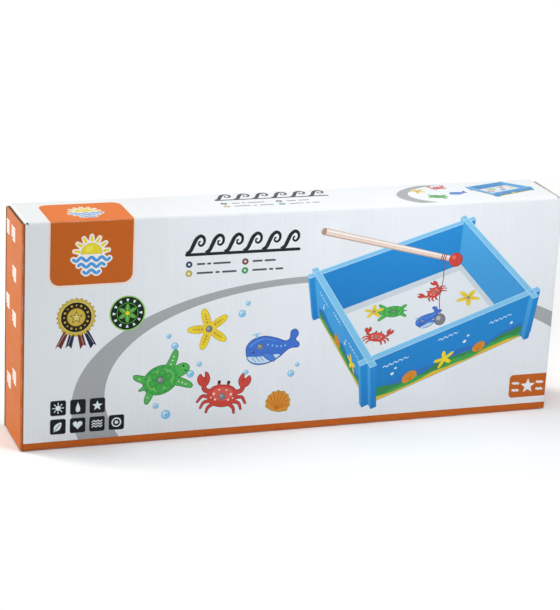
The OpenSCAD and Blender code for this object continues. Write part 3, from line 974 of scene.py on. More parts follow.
def board(name, v, f, which, fold, is_seam, wave, wear, charts, materials):
    """A closed sheet of board from the split blank: printed side, liner side and cut edges."""
    n = len(v)
    rim = boundary(f)
    following = dict(rim.tolist())
    before = {b: a for a, b in rim.tolist()}
    edge_verts = np.array(sorted(following))
    out_dir = np.zeros((n, 2))
    for i in edge_verts:
        a, b = v[before[i]], v[following[i]]
        e0, e1 = v[i] - a, b - v[i]
        n0 = np.array([e0[1], -e0[0]]) / max(np.linalg.norm(e0), 1e-9)
        n1 = np.array([e1[1], -e1[0]]) / max(np.linalg.norm(e1), 1e-9)
        m = n0 + n1
        m /= max(np.linalg.norm(m), 0.5)
        out_dir[i] = m / np.clip(m @ n0, 0.6, 1)
    seam = is_seam(v)
    out_dir[seam] = 0
    rings = [(0.0, 0.09), (0.13, 0.025), (0.32, 0.0), (1.18, 0.0), (1.37, 0.025), (B, 0.09)]
    bow = wave(v)
    flat, deep = [v - out_dir * rings[0][1]], [np.zeros(n)]
    flat.append(v - out_dir * rings[-1][1])
    deep.append(np.full(n, B))
    slot = {}
    count = 2 * n
    ring_at = []
    for k, (d, inset) in enumerate(rings):
        if k == 0:
            ring_at.append({i: i for i in edge_verts.tolist()})
        elif k == len(rings) - 1:
            ring_at.append({i: n + i for i in edge_verts.tolist()})
        else:
            flat.append(v[edge_verts] - out_dir[edge_verts] * inset)
            deep.append(np.full(len(edge_verts), d))
            ring_at.append({i: count + j for j, i in enumerate(edge_verts.tolist())})
            count += len(edge_verts)
    blank = np.concatenate(flat)
    depth = np.concatenate(deep)
    bows = np.concatenate([bow, bow] + [bow[edge_verts]] * (len(rings) - 2))
    worn = np.concatenate([wear(v, True), wear(v, False)] + [np.ones(len(edge_verts))] * (len(rings) - 2))
    place = fold(blank[:, 0].copy(), blank[:, 1].copy(), depth + bows) / 1000
    quads, kind_of = [], []
    for k in range(len(rings) - 1):
        up, low = ring_at[k], ring_at[k + 1]
        for a, b in rim.tolist():
            quads.append((up[b], up[a], low[a], low[b]))
            kind_of.append(seam[a] and seam[b])
    quads = np.array(quads)
    # the printed side faces outwards; the blank is seen from it with v downwards
    faces = [tuple(t) for t in f[:, ::-1].tolist()] + [tuple(t) for t in (f + n).tolist()] + [tuple(q[::-1]) for q in quads.tolist()]
    me = bpy.data.meshes.new(name)
    me.from_pydata(place.tolist(), [], faces)
    nf, nq = len(f), len(quads)
    me.polygons.foreach_set("material_index", np.concatenate([np.zeros(nf, int), np.ones(nf, int), np.full(nq, 2)]).astype(np.int32))
    me.polygons.foreach_set("use_smooth", np.ones(2 * nf + nq, bool))
    for m in materials:
        me.materials.append(m)
    at = me.attributes.new("blank", "FLOAT_VECTOR", "POINT")
    at.data.foreach_set("vector", np.stack([blank[:, 0], blank[:, 1], depth], 1).astype(np.float32).ravel())
    at = me.attributes.new("wear", "FLOAT", "POINT")
    at.data.foreach_set("value", worn.astype(np.float32))
    # ink, one colour to each corner of the printed side
    corner = np.zeros((len(me.loops), 4), np.float32)
    corner[:, :3] = WHITE
    corner[:, 3] = 1
    loops = np.zeros(len(me.loops), np.int32)
    me.loops.foreach_get("vertex_index", loops)
    tri_loops = loops[: 3 * nf].reshape(-1, 3)
    for s in np.unique(which):
        if s < 0:
            continue
        colour = shapes[s][0]
        k = np.nonzero(which == s)[0]
        if callable(colour):
            value = colour(v[tri_loops[k].ravel()])
        else:
            value = np.tile(colour, (3 * len(k), 1))
        corner[(3 * k[:, None] + np.arange(3)).ravel(), :3] = np.clip(value, 0, 0.95)
    at = me.color_attributes.new("ink", "FLOAT_COLOR", "CORNER")
    at.data.foreach_set("color", corner.ravel())
    # one map with every face in a place of its own
    uv = np.zeros((len(me.loops), 2))
    mid = v[f].mean(1)
    uv[: 3 * nf] = charts(v[tri_loops.ravel()], np.repeat(mid, 3, 0), True)
    inner = loops[3 * nf : 6 * nf] - n
    uv[3 * nf : 6 * nf] = charts(v[inner], np.repeat(mid, 3, 0), False)
    left = set(following)
    order = []
    while left:
        i = min(left)
        loop = [i]
        left.discard(i)
        while following[loop[-1]] in left:
            loop.append(following[loop[-1]])
            left.discard(loop[-1])
        order.append(loop)
    x0, y0, wide, high, scale, size = charts.rows
    place_of, x, row = {}, 0.0, 0
    for loop in order:
        for a in loop:
            b = following[a]
            step = max(np.linalg.norm(v[b] - v[a]) * scale, 0.02)
            if x + step > wide:
                x, row = 0.0, row + 1
            place_of[a] = (x0 + x, y0 + row * high, step)
            x += step
    band = np.array([d for d, _ in rings]) / B * (high - 2.0)
    for k in range(len(rings) - 1):
        for j, (a, b) in enumerate(rim.tolist()):
            px, py, step = place_of[a]
            lo_y, hi_y = py + band[k], py + band[k + 1]
            # corners in the order of the reversed quad: low b, low a, up a, up b
            first = 6 * nf + 4 * (k * len(rim) + j)
            uv[first : first + 4] = [(px + step, hi_y), (px, hi_y), (px, lo_y), (px + step, lo_y)]
    assert y0 + (row + 1) * high <= size, (name, row)
    uv /= size
    layer = me.uv_layers.new(name="OFBake")
    layer.data.foreach_set("uv", uv.astype(np.float32).ravel())
    me.validate()
    me.set_sharp_from_angle(angle=math.radians(34))
    ob = bpy.data.objects.new(name, me)
    bpy.context.scene.collection.objects.link(ob)
    return ob


class Charts:
    """Where each part of the blank lies in the bake's map, in pixels."""

    def __init__(self, pick, rows):
        self.pick, self.rows = pick, rows

    def __call__(self, p, mid, outer):
        return self.pick(p, mid, outer)


def ramp(x, a, b):
    t = np.clip((x - a) / (b - a), 0, 1)
    return t * t * (3 - 2 * t)


# ---------------------------------------------------------------- materials
def node(tree, kind, **values):
    n = tree.nodes.new(kind)
    for k, v in values.items():
        if k in n.inputs:
            n.inputs[k].default_value = v
        else:
            setattr(n, k, v)
    return n


def math_node(tree, op, a, b=None, c=None, clamp=False):
    n = tree.nodes.new("ShaderNodeMath")
    n.operation = op
    n.use_clamp = clamp
    for i, x in enumerate((a, b, c)):
        if x is None:
            continue
        if isinstance(x, (int, float)):
            n.inputs[i].default_value = x
        else:
            tree.links.new(x, n.inputs[i])
    return n.outputs[0]


def mix_colour(tree, factor, a, b, mode="MIX"):
    n = tree.nodes.new("ShaderNodeMix")
    n.data_type = "RGBA"
    n.blend_type = mode
    for key, x in ((0, factor), (6, a), (7, b)):
        if isinstance(x, (int, float)):
            n.inputs[key].default_value = x
        elif isinstance(x, (tuple, list, np.ndarray)):
            n.inputs[key].default_value = (*[float(q) for q in x[:3]], 1.0)
        else:
            tree.links.new(x, n.inputs[key])
    return n.outputs[2]


def blank_coordinates(tree):
    at = tree.nodes.new("ShaderNodeAttribute")
    at.attribute_name = "blank"
    return at.outputs["Vector"]


def scaled(tree, vector, sx, sy, sz=1.0, ox=0.0, oy=0.0):
    m = tree.nodes.new("ShaderNodeMapping")
    m.inputs["Scale"].default_value = (sx, sy, sz)
    m.inputs["Location"].default_value = (ox, oy, 0)
    tree.links.new(vector, m.inputs["Vector"])
    return m.outputs[0]


def noise(tree, vector, scale=1.0, detail=3.0, rough=0.5):
    n = tree.nodes.new("ShaderNodeTexNoise")
    n.inputs["Scale"].default_value = scale
    n.inputs["Detail"].default_value = detail
    n.inputs["Roughness"].default_value = rough
    tree.links.new(vector, n.inputs["Vector"])
    return n.outputs["Fac"]


def map_range(tree, x, a, b, c, d):
    n = tree.nodes.new("ShaderNodeMapRange")
    n.clamp = True
    for key, value in (("From Min", a), ("From Max", b), ("To Min", c), ("To Max", d)):
        n.inputs[key].default_value = value
    tree.links.new(x, n.inputs["Value"])
    return n.outputs[0]


FLUTE = 3.3  # millimetres from one flute to the next


def flutes(tree, blank):
    """Height of the flutes under a liner, from -1 to 1, uneven as in real board."""
    split = tree.nodes.new("ShaderNodeSeparateXYZ")
    tree.links.new(blank, split.inputs[0])
    u = split.outputs[0]
    wander = noise(tree, scaled(tree, blank, 0.012, 0.008, 0), 1.0, 2.0)
    phase = math_node(tree, "ADD", math_node(tree, "MULTIPLY", u, 2 * math.pi / FLUTE), math_node(tree, "MULTIPLY", wander, 5.0))
    return math_node(tree, "SINE", phase), split


def new_material(name):
    m = bpy.data.materials.new(name)
    m.use_nodes = True
    t = m.node_tree
    t.nodes.clear()
    out = t.nodes.new("ShaderNodeOutputMaterial")
    b = t.nodes.new("ShaderNodeBsdfPrincipled")
    t.links.new(b.outputs[0], out.inputs["Surface"])
    return m, t, b


def printed_liner():
    m, t, b = new_material("printed_liner")
    blank = blank_coordinates(t)
    ink_at = t.nodes.new("ShaderNodeAttribute")
    ink_at.attribute_name = "ink"
    colour = ink_at.outputs["Color"]
    wave, split = flutes(t, blank)
    # the press lays the ink a little unevenly, and less of it between the flutes
    broad = noise(t, scaled(t, blank, 0.020, 0.014, 0), 1.0, 3.0)
    fine = noise(t, scaled(t, blank, 1.6, 1.6, 0), 1.0, 3.0, 0.6)
    band = noise(t, scaled(t, blank, 0.30, 0.012, 0), 1.0, 2.0)
    tone = math_node(t, "ADD", map_range(t, broad, 0.3, 0.7, -0.022, 0.022), map_range(t, fine, 0.3, 0.7, -0.018, 0.018))
    tone = math_node(t, "ADD", tone, map_range(t, band, 0.3, 0.7, -0.009, 0.009))
    telling = map_range(t, noise(t, scaled(t, blank, 0.045, 0.010, 0, 3.0, 9.0), 1.0, 2.0), 0.35, 0.68, 0.15, 1.0)
    print_wave = math_node(t, "MULTIPLY", wave, telling)
    tone = math_node(t, "ADD", tone, math_node(t, "MULTIPLY", print_wave, 0.010))
    tone = math_node(t, "ADD", tone, 0.985)
    grey = t.nodes.new("ShaderNodeCombineColor")
    for i in range(3):
        t.links.new(tone, grey.inputs[i])
    toned = mix_colour(t, 1.0, colour, grey.outputs[0], "MULTIPLY")
    # pale fibres show where the ink cracks along folds and rubs off at cut edges
    worn = t.nodes.new("ShaderNodeAttribute")
    worn.attribute_name = "wear"
    w = worn.outputs["Fac"]
    crack = noise(t, scaled(t, blank, 2.4, 2.4, 0), 1.0, 4.0, 0.7)
    patch = noise(t, scaled(t, blank, 0.11, 0.11, 0), 1.0, 3.0, 0.5)
    amount = math_node(t, "MULTIPLY", w, math_node(t, "ADD", math_node(t, "MULTIPLY", crack, 0.75), math_node(t, "MULTIPLY", patch, 0.55)))
    bare = map_range(t, amount, 0.56, 0.78, 0.0, 0.62)
    final = mix_colour(t, bare, toned, (0.80, 0.77, 0.72))
    t.links.new(final, b.inputs["Base Color"])
    rub = noise(t, scaled(t, blank, 0.035, 0.06, 0), 1.0, 4.0, 0.62)
    rough = map_range(t, rub, 0.25, 0.75, 0.41, 0.55)
    rough = math_node(t, "ADD", rough, math_node(t, "MULTIPLY", fine, 0.06))
    rough = math_node(t, "ADD", rough, math_node(t, "MULTIPLY", bare, 0.35), clamp=True)
    t.links.new(rough, b.inputs["Roughness"])
    b.inputs["IOR"].default_value = 1.5
    b.inputs["Specular IOR Level"].default_value = 0.18
    # height in millimetres: flutes printing through, liner fibres, cracked folds
    height = math_node(t, "MULTIPLY", print_wave, 0.0065)
    height = math_node(t, "ADD", height, math_node(t, "MULTIPLY", noise(t, scaled(t, blank, 0.9, 0.5, 0), 1.0, 4.0, 0.6), 0.012))
    height = math_node(t, "ADD", height, math_node(t, "MULTIPLY", noise(t, scaled(t, blank, 4.0, 3.0, 0), 1.0, 2.0, 0.5), 0.004))
    height = math_node(t, "SUBTRACT", height, math_node(t, "MULTIPLY", bare, 0.03))
    bump = t.nodes.new("ShaderNodeBump")
    bump.inputs["Strength"].default_value = 1.0
    bump.inputs["Distance"].default_value = 0.001
    t.links.new(height, bump.inputs["Height"])
    t.links.new(bump.outputs[0], b.inputs["Normal"])
    return m


def kraft_liner():
    m, t, b = new_material("kraft_liner")
    blank = blank_coordinates(t)
    wave, split = flutes(t, blank)
    fibre = noise(t, scaled(t, blank, 2.6, 0.34, 0), 1.0, 5.0, 0.68)
    cloud = noise(t, scaled(t, blank, 0.05, 0.03, 0), 1.0, 4.0, 0.6)
    fleck = noise(t, scaled(t, blank, 3.2, 1.1, 0, 7.0, 3.0), 1.0, 2.0, 0.5)
    base = mix_colour(t, map_range(t, cloud, 0.3, 0.7, 0, 1), (0.370, 0.215, 0.105), (0.455, 0.285, 0.150))
    base = mix_colour(t, map_range(t, fibre, 0.42, 0.70, 0.0, 0.55), base, (0.53, 0.355, 0.205))
    base = mix_colour(t, map_range(t, fleck, 0.64, 0.74, 0.0, 0.62), base, (0.185, 0.095, 0.042))
    base = mix_colour(t, map_range(t, fleck, 0.24, 0.33, 0.40, 0.0), base, (0.62, 0.47, 0.31))
    shade = math_node(t, "ADD", math_node(t, "MULTIPLY", wave, 0.035), 0.985)
    grey = t.nodes.new("ShaderNodeCombineColor")
    for i in range(3):
        t.links.new(shade, grey.inputs[i])
    base = mix_colour(t, 1.0, base, grey.outputs[0], "MULTIPLY")
    # along each crease the liner is darker towards its middle
    worn = t.nodes.new("ShaderNodeAttribute")
    worn.attribute_name = "wear"
    base = mix_colour(t, math_node(t, "MULTIPLY", worn.outputs["Fac"], 0.35), base, (0.24, 0.135, 0.065))
    t.links.new(base, b.inputs["Base Color"])
    t.links.new(map_range(t, fibre, 0.3, 0.7, 0.74, 0.92), b.inputs["Roughness"])
    b.inputs["Specular IOR Level"].default_value = 0.3
    height = math_node(t, "MULTIPLY", wave, 0.035)
    height = math_node(t, "ADD", height, math_node(t, "MULTIPLY", fibre, 0.045))
    bump = t.nodes.new("ShaderNodeBump")
    bump.inputs["Strength"].default_value = 1.0
    bump.inputs["Distance"].default_value = 0.001
    t.links.new(height, bump.inputs["Height"])
    t.links.new(bump.outputs[0], b.inputs["Normal"])
    return m


def cut_edge():
    """The cut edge of the board: two liners with the fluted sheet waving between them, and painted shade in the
    hollows.
    """
    m, t, b = new_material("cut_edge")
    blank = blank_coordinates(t)
    wave, split = flutes(t, blank)
    depth = split.outputs[2]
    crush = noise(t, scaled(t, blank, 0.5, 0.5, 0), 1.0, 3.0, 0.6)
    middle = math_node(t, "ADD", 0.76, math_node(t, "MULTIPLY", wave, 0.36))
    middle = math_node(t, "ADD", middle, math_node(t, "MULTIPLY", math_node(t, "SUBTRACT", crush, 0.5), 0.30))
    off = math_node(t, "ABSOLUTE", math_node(t, "SUBTRACT", depth, middle))
    sheet = map_range(t, off, 0.11, 0.19, 1.0, 0.0)
    outer = map_range(t, depth, 0.24, 0.32, 1.0, 0.0)
    inner = map_range(t, depth, 1.22, 1.30, 0.0, 1.0)
    fibre = noise(t, scaled(t, blank, 3.0, 3.0, 5.0), 1.0, 4.0, 0.7)
    kraft = mix_colour(t, fibre, (0.26, 0.165, 0.092), (0.50, 0.37, 0.25))
    paper = mix_colour(t, fibre, (0.44, 0.40, 0.36), (0.70, 0.67, 0.63))
    # painted shade: the hollows between the fluted sheet and the liners are painted near black-brown
    base = mix_colour(t, sheet, (0.070, 0.042, 0.025), kraft)
    base = mix_colour(t, inner, base, kraft)
    base = mix_colour(t, outer, base, paper)
    # painted shade: the left end flap's cut edge is darkened as it looks in the gap's shade; painted light: the right
    # one's is made pale grey, most near its fold, which brightens that edge and the notch at the corner
    along = t.nodes.new("ShaderNodeSeparateXYZ")
    t.links.new(blank, along.inputs[0])
    u, v = along.outputs[0], along.outputs[1]
    of_flap = math_node(t, "MULTIPLY", map_range(t, v, V4 - 2.5, V4 - 2.0, 0.0, 1.0), map_range(t, v, V5 + 2.0, V5 + 2.5, 1.0, 0.0))
    painted_shade_left = math_node(t, "MULTIPLY", of_flap, map_range(t, u, -W_FRONT - 0.5, -W_FRONT, 1.0, 0.0))
    base = mix_colour(t, painted_shade_left, base, mix_colour(t, fibre, (0.105, 0.052, 0.020), (0.19, 0.098, 0.042)))
    # painted light: pale grey on the right end flap's cut edge
    pale = math_node(t, "MULTIPLY", of_flap, map_range(t, u, PANEL_X - 0.3, PANEL_X, 0.0, 1.0))
    pale = math_node(t, "MULTIPLY", pale, map_range(t, u, W_SIDE, W_TUCK, 1.0, 0.10))
    base = mix_colour(t, pale, base, (0.76, 0.77, 0.765))
    # the cut edges at the ends of the fold between the top and the back get the same pale grey
    fold_end_ = math_node(t, "MULTIPLY", map_range(t, v, V1 - 0.5, V1 - 0.3, 0.0, 0.9), map_range(t, v, V2 + 0.3, V2 + 0.5, 1.0, 0.0))
    base = mix_colour(t, fold_end_, base, (0.76, 0.77, 0.765))
    t.links.new(base, b.inputs["Base Color"])
    t.links.new(map_range(t, fibre, 0.3, 0.7, 0.80, 0.95), b.inputs["Roughness"])
    b.inputs["Specular IOR Level"].default_value = 0.2
    solid = math_node(t, "MAXIMUM", math_node(t, "MAXIMUM", sheet, outer), inner)
    height = math_node(t, "ADD", math_node(t, "MULTIPLY", solid, 0.16), math_node(t, "MULTIPLY", fibre, 0.05))
    bump = t.nodes.new("ShaderNodeBump")
    bump.inputs["Strength"].default_value = 0.8
    bump.inputs["Distance"].default_value = 0.001
    t.links.new(height, bump.inputs["Height"])
    t.links.new(bump.outputs[0], b.inputs["Normal"])
    return m


MATERIALS = [printed_liner(), kraft_liner(), cut_edge()]


# ---------------------------------------------------------------- the sleeve
def dust_outline(v_of_y):
    """Corners of a right dust flap, from its fold at the back side round to the front side."""
    y0, y1 = DUST_Y0, DUST_Y1
    root, tip = PANEL_X + ARC, W_DUST
    pts = [(PANEL_X, y1), (root, y1), (root + 3, y1)]
    # tapered back side, rounded corner
    r = 6.4
    end_y = y1 - 3 * (tip - r - root - 3) / (tip - root - 3)
    pts.append((tip - r, end_y))
    for a in np.radians(np.linspace(78, 0, 8)):
        pts.append((tip - r + r * math.cos(a), end_y - r + r * math.sin(a) * 1.0))
    r = 7.0
    for a in np.radians(np.linspace(0, -90, 9)):
        pts.append((tip - r + r * math.cos(a), y0 + r + r * math.sin(a)))
    pts += [(root, y0), (PANEL_X, y0)]
    return [(w, v_of_y(y)) for w, y in pts]


top_v = lambda y: V2 + (HD - R - y)
bottom_v = lambda y: V6 + (y + HD - R)
right = [(HL, 0.0), (HL, V1), (PANEL_X, V1), (PANEL_X, V2)]
right += dust_outline(top_v)
right += [(PANEL_X, V4), (PANEL_X, V5), (PANEL_X, V6 - 0.0)]
right += dust_outline(bottom_v)[::-1][1:]
right += [(PANEL_X, V7), (LAP_X, V7), (LAP_X, V8), (LAP_X - 0.7 * LAP_H, V9)]
clean = [right[0]]
for p in right[1:]:
    if math.dist(p, clean[-1]) > 1e-3:
        clean.append(p)
right = np.array(clean)
SLEEVE = np.concatenate([right, (right * [-1, 1])[::-1]])


def fold_lines(span, v0, v1):
    """Lines along a fold between v0 and v1, close enough for it to look round."""
    n = 8
    vs = list(np.linspace(v0, v1, n + 1)) + [v0 - 0.5, v0 - 2.0, v1 + 0.5, v1 + 2.0]
    return [((-span, q), (span, q)) for q in vs]


lines = []
lines += fold_lines(PANEL_X, V1, V2)
lines += fold_lines(PANEL_X, V3, V4)
lines += fold_lines(PANEL_X, V5, V6)
lines += fold_lines(LAP_X, V7, V8)
lines += [((-HL, 0.6), (HL, 0.6))]
for s in (-1, 1):
    for va, vb in ((top_v(DUST_Y1), V3), (V6, bottom_v(DUST_Y1))):
        for w in list(np.linspace(PANEL_X, PANEL_X + ARC, 9)) + [PANEL_X - 0.5, PANEL_X + ARC + 0.5, PANEL_X + ARC + 2]:
            lines.append(((s * w, va), (s * w, vb)))
    lines.append(((s * PANEL_X, V1), (s * PANEL_X, V2)))


def sleeve_wave(p):
    """How far each panel is bowed inwards, in millimetres."""
    u, v = p[:, 0], p[:, 1]
    out = np.zeros(len(p))
    for a, b, deep, phase in ((0, V1, 0.30, 0.3), (V2, V3, 0.22, 1.9), (V4, V5, 0.28, 0.0), (V6, V7, 0.10, 2.6)):
        k = (v > a) & (v < b) & (np.abs(u) < PANEL_X)
        edge = np.minimum(np.minimum(v[k] - a, b - v[k]), PANEL_X - np.abs(u[k]))
        fade = ramp(edge, 0.5, 16.0)
        w = (
            0.5
            + 0.22 * np.sin(u[k] * 0.021 + phase)
            + 0.14 * np.sin(u[k] * 0.047 + v[k] * 0.035 + 2 * phase)
            + 0.10 * np.sin(v[k] * 0.075 - u[k] * 0.014 + phase)
        )
        out[k] = deep * fade * np.clip(w, 0, 1)
    return out


def near_line(x, at, soft):
    return np.clip(1 - np.abs(x - at) / soft, 0, 1)


def sleeve_wear(p, outer):
    u, v = p[:, 0], p[:, 1]
    out = np.zeros(len(p))
    for a, b in ((V1, V2), (V3, V4), (V5, V6), (V7, V8)):
        out = np.maximum(out, near_line(v, (a + b) / 2, 2.0))
    dust = (np.abs(u) > PANEL_X - 2) & (((v > V2) & (v < V3)) | ((v > V6) & (v < V7)))
    out = np.maximum(out, np.where(dust, near_line(np.abs(u), PANEL_X + ARC / 2, 2.0), 0))
    if outer:
        out = np.maximum(out, 0.75 * np.clip(1 - v / 0.6, 0, 1))
    return out


def sleeve_seam(p):
    return (np.abs(np.abs(p[:, 0]) - PANEL_X) < 1e-3) & (p[:, 1] > V4 - 1e-3) & (p[:, 1] < V5 + 1e-3)


STOPS_V = np.array([-1, V1, V2, V3, V4, V5, V6, V7, V8, V9 + 1])
STOPS_Y = 6 + np.concatenate([[0], np.cumsum(np.diff(STOPS_V) * [1.1, 2.5, 2.75, 2.75, 2.75, 2.75, 1.2, 1.2, 0.6])])


def sleeve_pick(p, mid, outer):
    q = np.zeros((len(p), 2))
    dust = (np.abs(mid[:, 0]) > PANEL_X) & (((mid[:, 1] > V2) & (mid[:, 1] < V3)) | ((mid[:, 1] > V6) & (mid[:, 1] < V7)))
    k = ~dust
    if outer:
        q[k, 0] = 6 + (p[k, 0] + HL) / L * 1012
        q[k, 1] = np.interp(p[k, 1], STOPS_V, STOPS_Y)
    else:
        q[k, 0] = 6 + (p[k, 0] + HL) / L * 600
        q[k, 1] = 812 + p[k, 1] / V9 * 150
    number = (mid[:, 0] > 0) * 1 + (mid[:, 1] > V5) * 2 + (0 if outer else 4)
    wide = W_DUST - PANEL_X
    base = np.where(mid[:, 1] > V5, V6, V2)
    k = dust
    q[k, 0] = 8 + 54 * number[k] + (np.abs(p[k, 0]) - PANEL_X) / wide * 46
    q[k, 1] = 762 + (p[k, 1] - base[k]) / 42.4 * 40
    return q


sleeve_charts = Charts(sleeve_pick, (6.0, 972.0, 1010.0, 8.0, 2.0, 1024))
v, f, which = split_blank(SLEEVE, lines, grid_points(SLEEVE, 6.5, 2.6, 11))
sleeve = board("sleeve_board", v, f, which, fold_sleeve, sleeve_seam, sleeve_wave, sleeve_wear, sleeve_charts, MATERIALS)
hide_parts("carton_sleeve")
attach(sleeve, "carton_sleeve")


# ---------------------------------------------------------------- end flaps and creases
def flap_blank():
    """Outline of the right end flap and its tuck tab, in w and height z."""
    a, b = W_STRIP, W_TUCK + 0.1
    z0, z1 = FLAP_Z0, FLAP_Z1
    low = [(a, z0)]
    corner = [(b - 1.2, z0), (b - 0.35, z0 + 0.3), (b, z0 + 1.2), (b, 5.2), (W_TUCK, 5.35), (W_TUCK + 0.02, TAB_Z0)]
    tip = []
    for t in np.radians(np.linspace(-90, 0, 12)):
        tip.append((W_TIP - TAB_R + TAB_R * math.cos(t), TAB_Z0 + TAB_R + TAB_R * math.sin(t)))
    half = low + corner + tip
    other = [(w, H - z) for w, z in half][::-1]
    return np.array(half + other)


def end_wear(p, outer):
    w = np.abs(p[:, 0])
    z = VF - p[:, 1]
    out = np.maximum(near_line(w, (W_FRONT + W_SIDE) / 2, 2.0), near_line(w, (W_TUCK + W_TAB) / 2, 2.2))
    if outer:
        out = np.maximum(out, 0.7 * np.clip(1 - np.minimum(z - FLAP_Z0, FLAP_Z1 - z) / 0.9, 0, 1) * (w > W_STRIP - 0.1))
    return out


def flap_wave(p):
    w, z = np.abs(p[:, 0]), VF - p[:, 1]
    edge = np.minimum(np.minimum(w - W_STRIP, W_TUCK - w), np.minimum(z - FLAP_Z0, FLAP_Z1 - z))
    fade = ramp(edge, 0.3, 12.0)
    return 0.16 * fade * (0.6 + 0.4 * np.sin(z * 0.06 + np.sign(p[:, 0])))


def end_charts(lo, hi, z_lo, z_hi, outer_box, inner_box, rows):
    def pick(p, mid, outer):
        x0, y0, x1, y1 = outer_box if outer else inner_box
        w, z = np.abs(p[:, 0]), VF - p[:, 1]
        return np.stack([x0 + (w - lo) / (hi - lo) * (x1 - x0), y0 + (z - z_lo) / (z_hi - z_lo) * (y1 - y0)], 1)

    return Charts(pick, rows)


flap_outline = flap_blank()
strip_lines_w = [PANEL_X + 0.6, PANEL_X + 1.2, *np.linspace(W_FRONT - 0.25, W_SIDE + 0.25, 15), W_SIDE + 0.7, W_SIDE + 1.3]
for side, label in ((-1, "left"), (1, "right")):
    # flap with its tuck tab
    outline = np.stack([side * flap_outline[:, 0], VF - flap_outline[:, 1]], 1)
    inside = [((side * w, VF - TAB_Z0), (side * w, VF - TAB_Z1)) for w in np.linspace(W_TUCK + 0.02, W_TAB, 11)]
    inside += [((side * w, VF - TAB_Z0), (side * w, VF - TAB_Z1)) for w in (W_TAB + 0.5, W_TAB + 2.0)]
    inside += [((side * w, VF - FLAP_Z0), (side * w, VF - FLAP_Z1)) for w in (W_TUCK - 0.5, W_TUCK - 2.0)]
    # across the tab the board bends all the way to its tip
    inside += [((side * w, VF - TAB_Z0), (side * w, VF - TAB_Z1)) for w in np.linspace(W_TAB + 3.5, W_TIP - 1.0, 5)]
    inside += [((side * W_STRIP, VF - z), (side * W_TUCK, VF - z)) for z in (FLAP_Z0 + 0.9, FLAP_Z1 - 0.9)]
    v, f, which = split_blank(outline, inside, grid_points(outline, 5.0, 2.0, 21))
    charts = end_charts(W_STRIP, W_TIP, FLAP_Z0, FLAP_Z1, (4, 4, 186, 488), (194, 4, 376, 488), (384.0, 8.0, 120.0, 8.0, 2.2, 512))
    seam = lambda p: (np.abs(np.abs(p[:, 0]) - W_STRIP) < 1e-3)
    flap = board(f"{label}_flap_board", v, f, which, fold_end, seam, flap_wave, end_wear, charts, MATERIALS)
    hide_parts(f"{label}_end_flap")
    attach(flap, f"{label}_end_flap")
    # the crease that joins it to the front panel
    foot = [(PANEL_X, R), (PANEL_X + 0.12, 1.15), (PANEL_X + 0.5, 0.65), (PANEL_X + 1.2, 0.5), (W_FRONT, 0.5), (W_FRONT + 1.2, 0.6), (W_STRIP, FLAP_Z0)]
    box = np.array(foot + [(w, H - z) for w, z in foot[::-1]])
    outline = np.stack([side * box[:, 0], VF - box[:, 1]], 1)
    inside = [((side * w, VF - R), (side * w, VF - (H - R))) for w in strip_lines_w]
    v, f, which = split_blank(outline, inside, np.array([(side * (PANEL_X + 0.3), VF - z) for z in np.arange(8, 140, 8.0)]))
    charts = end_charts(PANEL_X, W_STRIP, FLAP_Z0, FLAP_Z1, (4, 4, 96, 488), (104, 4, 196, 488), (204.0, 8.0, 290.0, 8.0, 2.2, 512))
    seam = lambda p: (np.abs(np.abs(p[:, 0]) - W_STRIP) < 1e-3) | (np.abs(np.abs(p[:, 0]) - PANEL_X) < 1e-3)
    crease = board(f"{label}_crease", v, f, which, fold_end, seam, lambda p: np.zeros(len(p)), end_wear, charts, MATERIALS)
    # along the corner's diagonal, from the end of the front panel to the start of the flap
    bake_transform(crease)


# ---------------------------------------------------------------- floor, light, camera
def floor_material():
    m, t, b = new_material("studio_floor")
    co = t.nodes.new("ShaderNodeTexCoord")
    n = t.nodes.new("ShaderNodeTexNoise")
    n.inputs["Scale"].default_value = 3.0
    t.links.new(co.outputs["Object"], n.inputs["Vector"])
    c = mix_colour(t, n.outputs["Fac"], (0.955, 0.955, 0.955), (0.97, 0.97, 0.97))
    t.links.new(c, b.inputs["Base Color"])
    b.inputs["Roughness"].default_value = 0.9
    b.inputs["Specular IOR Level"].default_value = 0.1
    return m


me = bpy.data.meshes.new("studio_floor")
me.from_pydata([(-12, -12, 0), (12, -12, 0), (12, 12, 0), (-12, 12, 0)], [], [(0, 1, 2, 3)])
me.materials.append(floor_material())
floor = bpy.data.objects.new("studio_floor", me)
bpy.context.scene.collection.objects.link(floor)

world = bpy.data.worlds.new("studio")
bpy.context.scene.world = world
world.use_nodes = True
back = world.node_tree.nodes["Background"]
back.inputs["Color"].default_value = (0.585, 0.785, 1.0, 1)
back.inputs["Strength"].default_value = 0.195


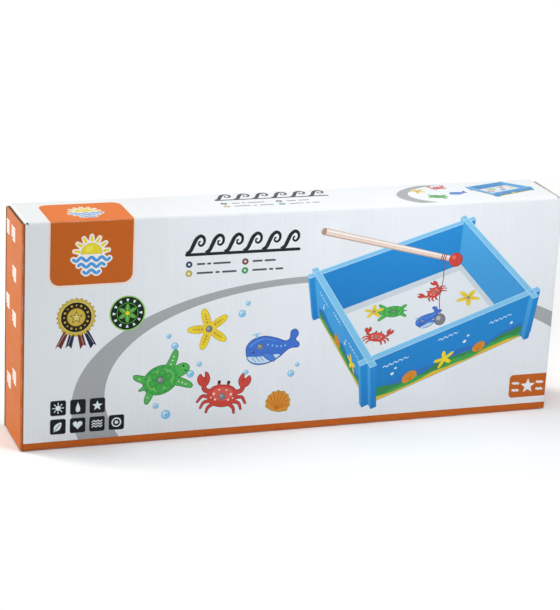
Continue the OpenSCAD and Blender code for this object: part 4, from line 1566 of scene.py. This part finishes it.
def area_light(name, at, look, wide, high, watts, colour=(1, 1, 1)):
    data = bpy.data.lights.new(name, "AREA")
    data.shape = "RECTANGLE"
    data.size, data.size_y = wide, high
    data.energy = watts
    data.color = colour
    ob = bpy.data.objects.new(name, data)
    ob.location = at
    ob.rotation_euler = (Vector(look) - Vector(at)).to_track_quat("-Z", "Y").to_euler()
    bpy.context.scene.collection.objects.link(ob)
    return ob


area_light("key_left", (-1.6, 0.85, 1.05), (-0.1, 0, 0.07), 1.0, 1.0, 12.5, (1.0, 0.965, 0.92))
area_light("key_behind", (-1.3, 1.05, 0.85), (-0.15, 0, 0.07), 0.8, 0.8, 17.0, (1.0, 0.96, 0.905))
area_light("overhead", (0.0, 0.0, 2.3), (0, 0.0, 0), 1.6, 1.6, 25.2, (1.0, 0.95, 0.88))
near = area_light("fill_front", (0.07, -0.28, 0.33), (0.05, 0, 0.13), 0.14, 0.14, 0.62, (0.93, 0.965, 1.0))
near.visible_camera = False
area_light("fill_right", (0.55, -0.38, 0.55), (0.12, 0, 0.10), 0.35, 0.35, 0.75, (1.0, 0.94, 0.88))
area_light("backdrop", (0.5, 0.9, 1.5), (0.5, 2.9, 0.5), 2.5, 1.2, 34.0, (1.0, 0.96, 0.92))

az, el, roll = math.radians(-19.798), math.radians(18.284), math.radians(-2.8038)
away = Vector((math.sin(az) * math.cos(el), -math.cos(az) * math.cos(el), math.sin(el)))
right_ = Vector((math.cos(az), math.sin(az), 0))
up_ = away.cross(right_)
cr, sr = math.cos(roll), math.sin(roll)
right2 = cr * right_ - sr * up_
up2 = sr * right_ + cr * up_
target = Vector((-0.00455, 0, 0.0756))
place = target + 1.3707 * away
cam_data = bpy.data.cameras.new("camera")
cam_data.lens = 128.72
cam_data.sensor_width = 36
cam_data.sensor_fit = "AUTO"
cam_data.dof.use_dof = False
cam = bpy.data.objects.new("camera", cam_data)
rot = Matrix((right2, up2, away)).transposed().to_4x4()
cam.matrix_world = Matrix.Translation(place) @ rot
bpy.context.scene.collection.objects.link(cam)
bpy.context.scene.camera = cam
bpy.context.scene.view_settings.view_transform = "Standard"
bpy.context.scene.view_settings.look = "None"
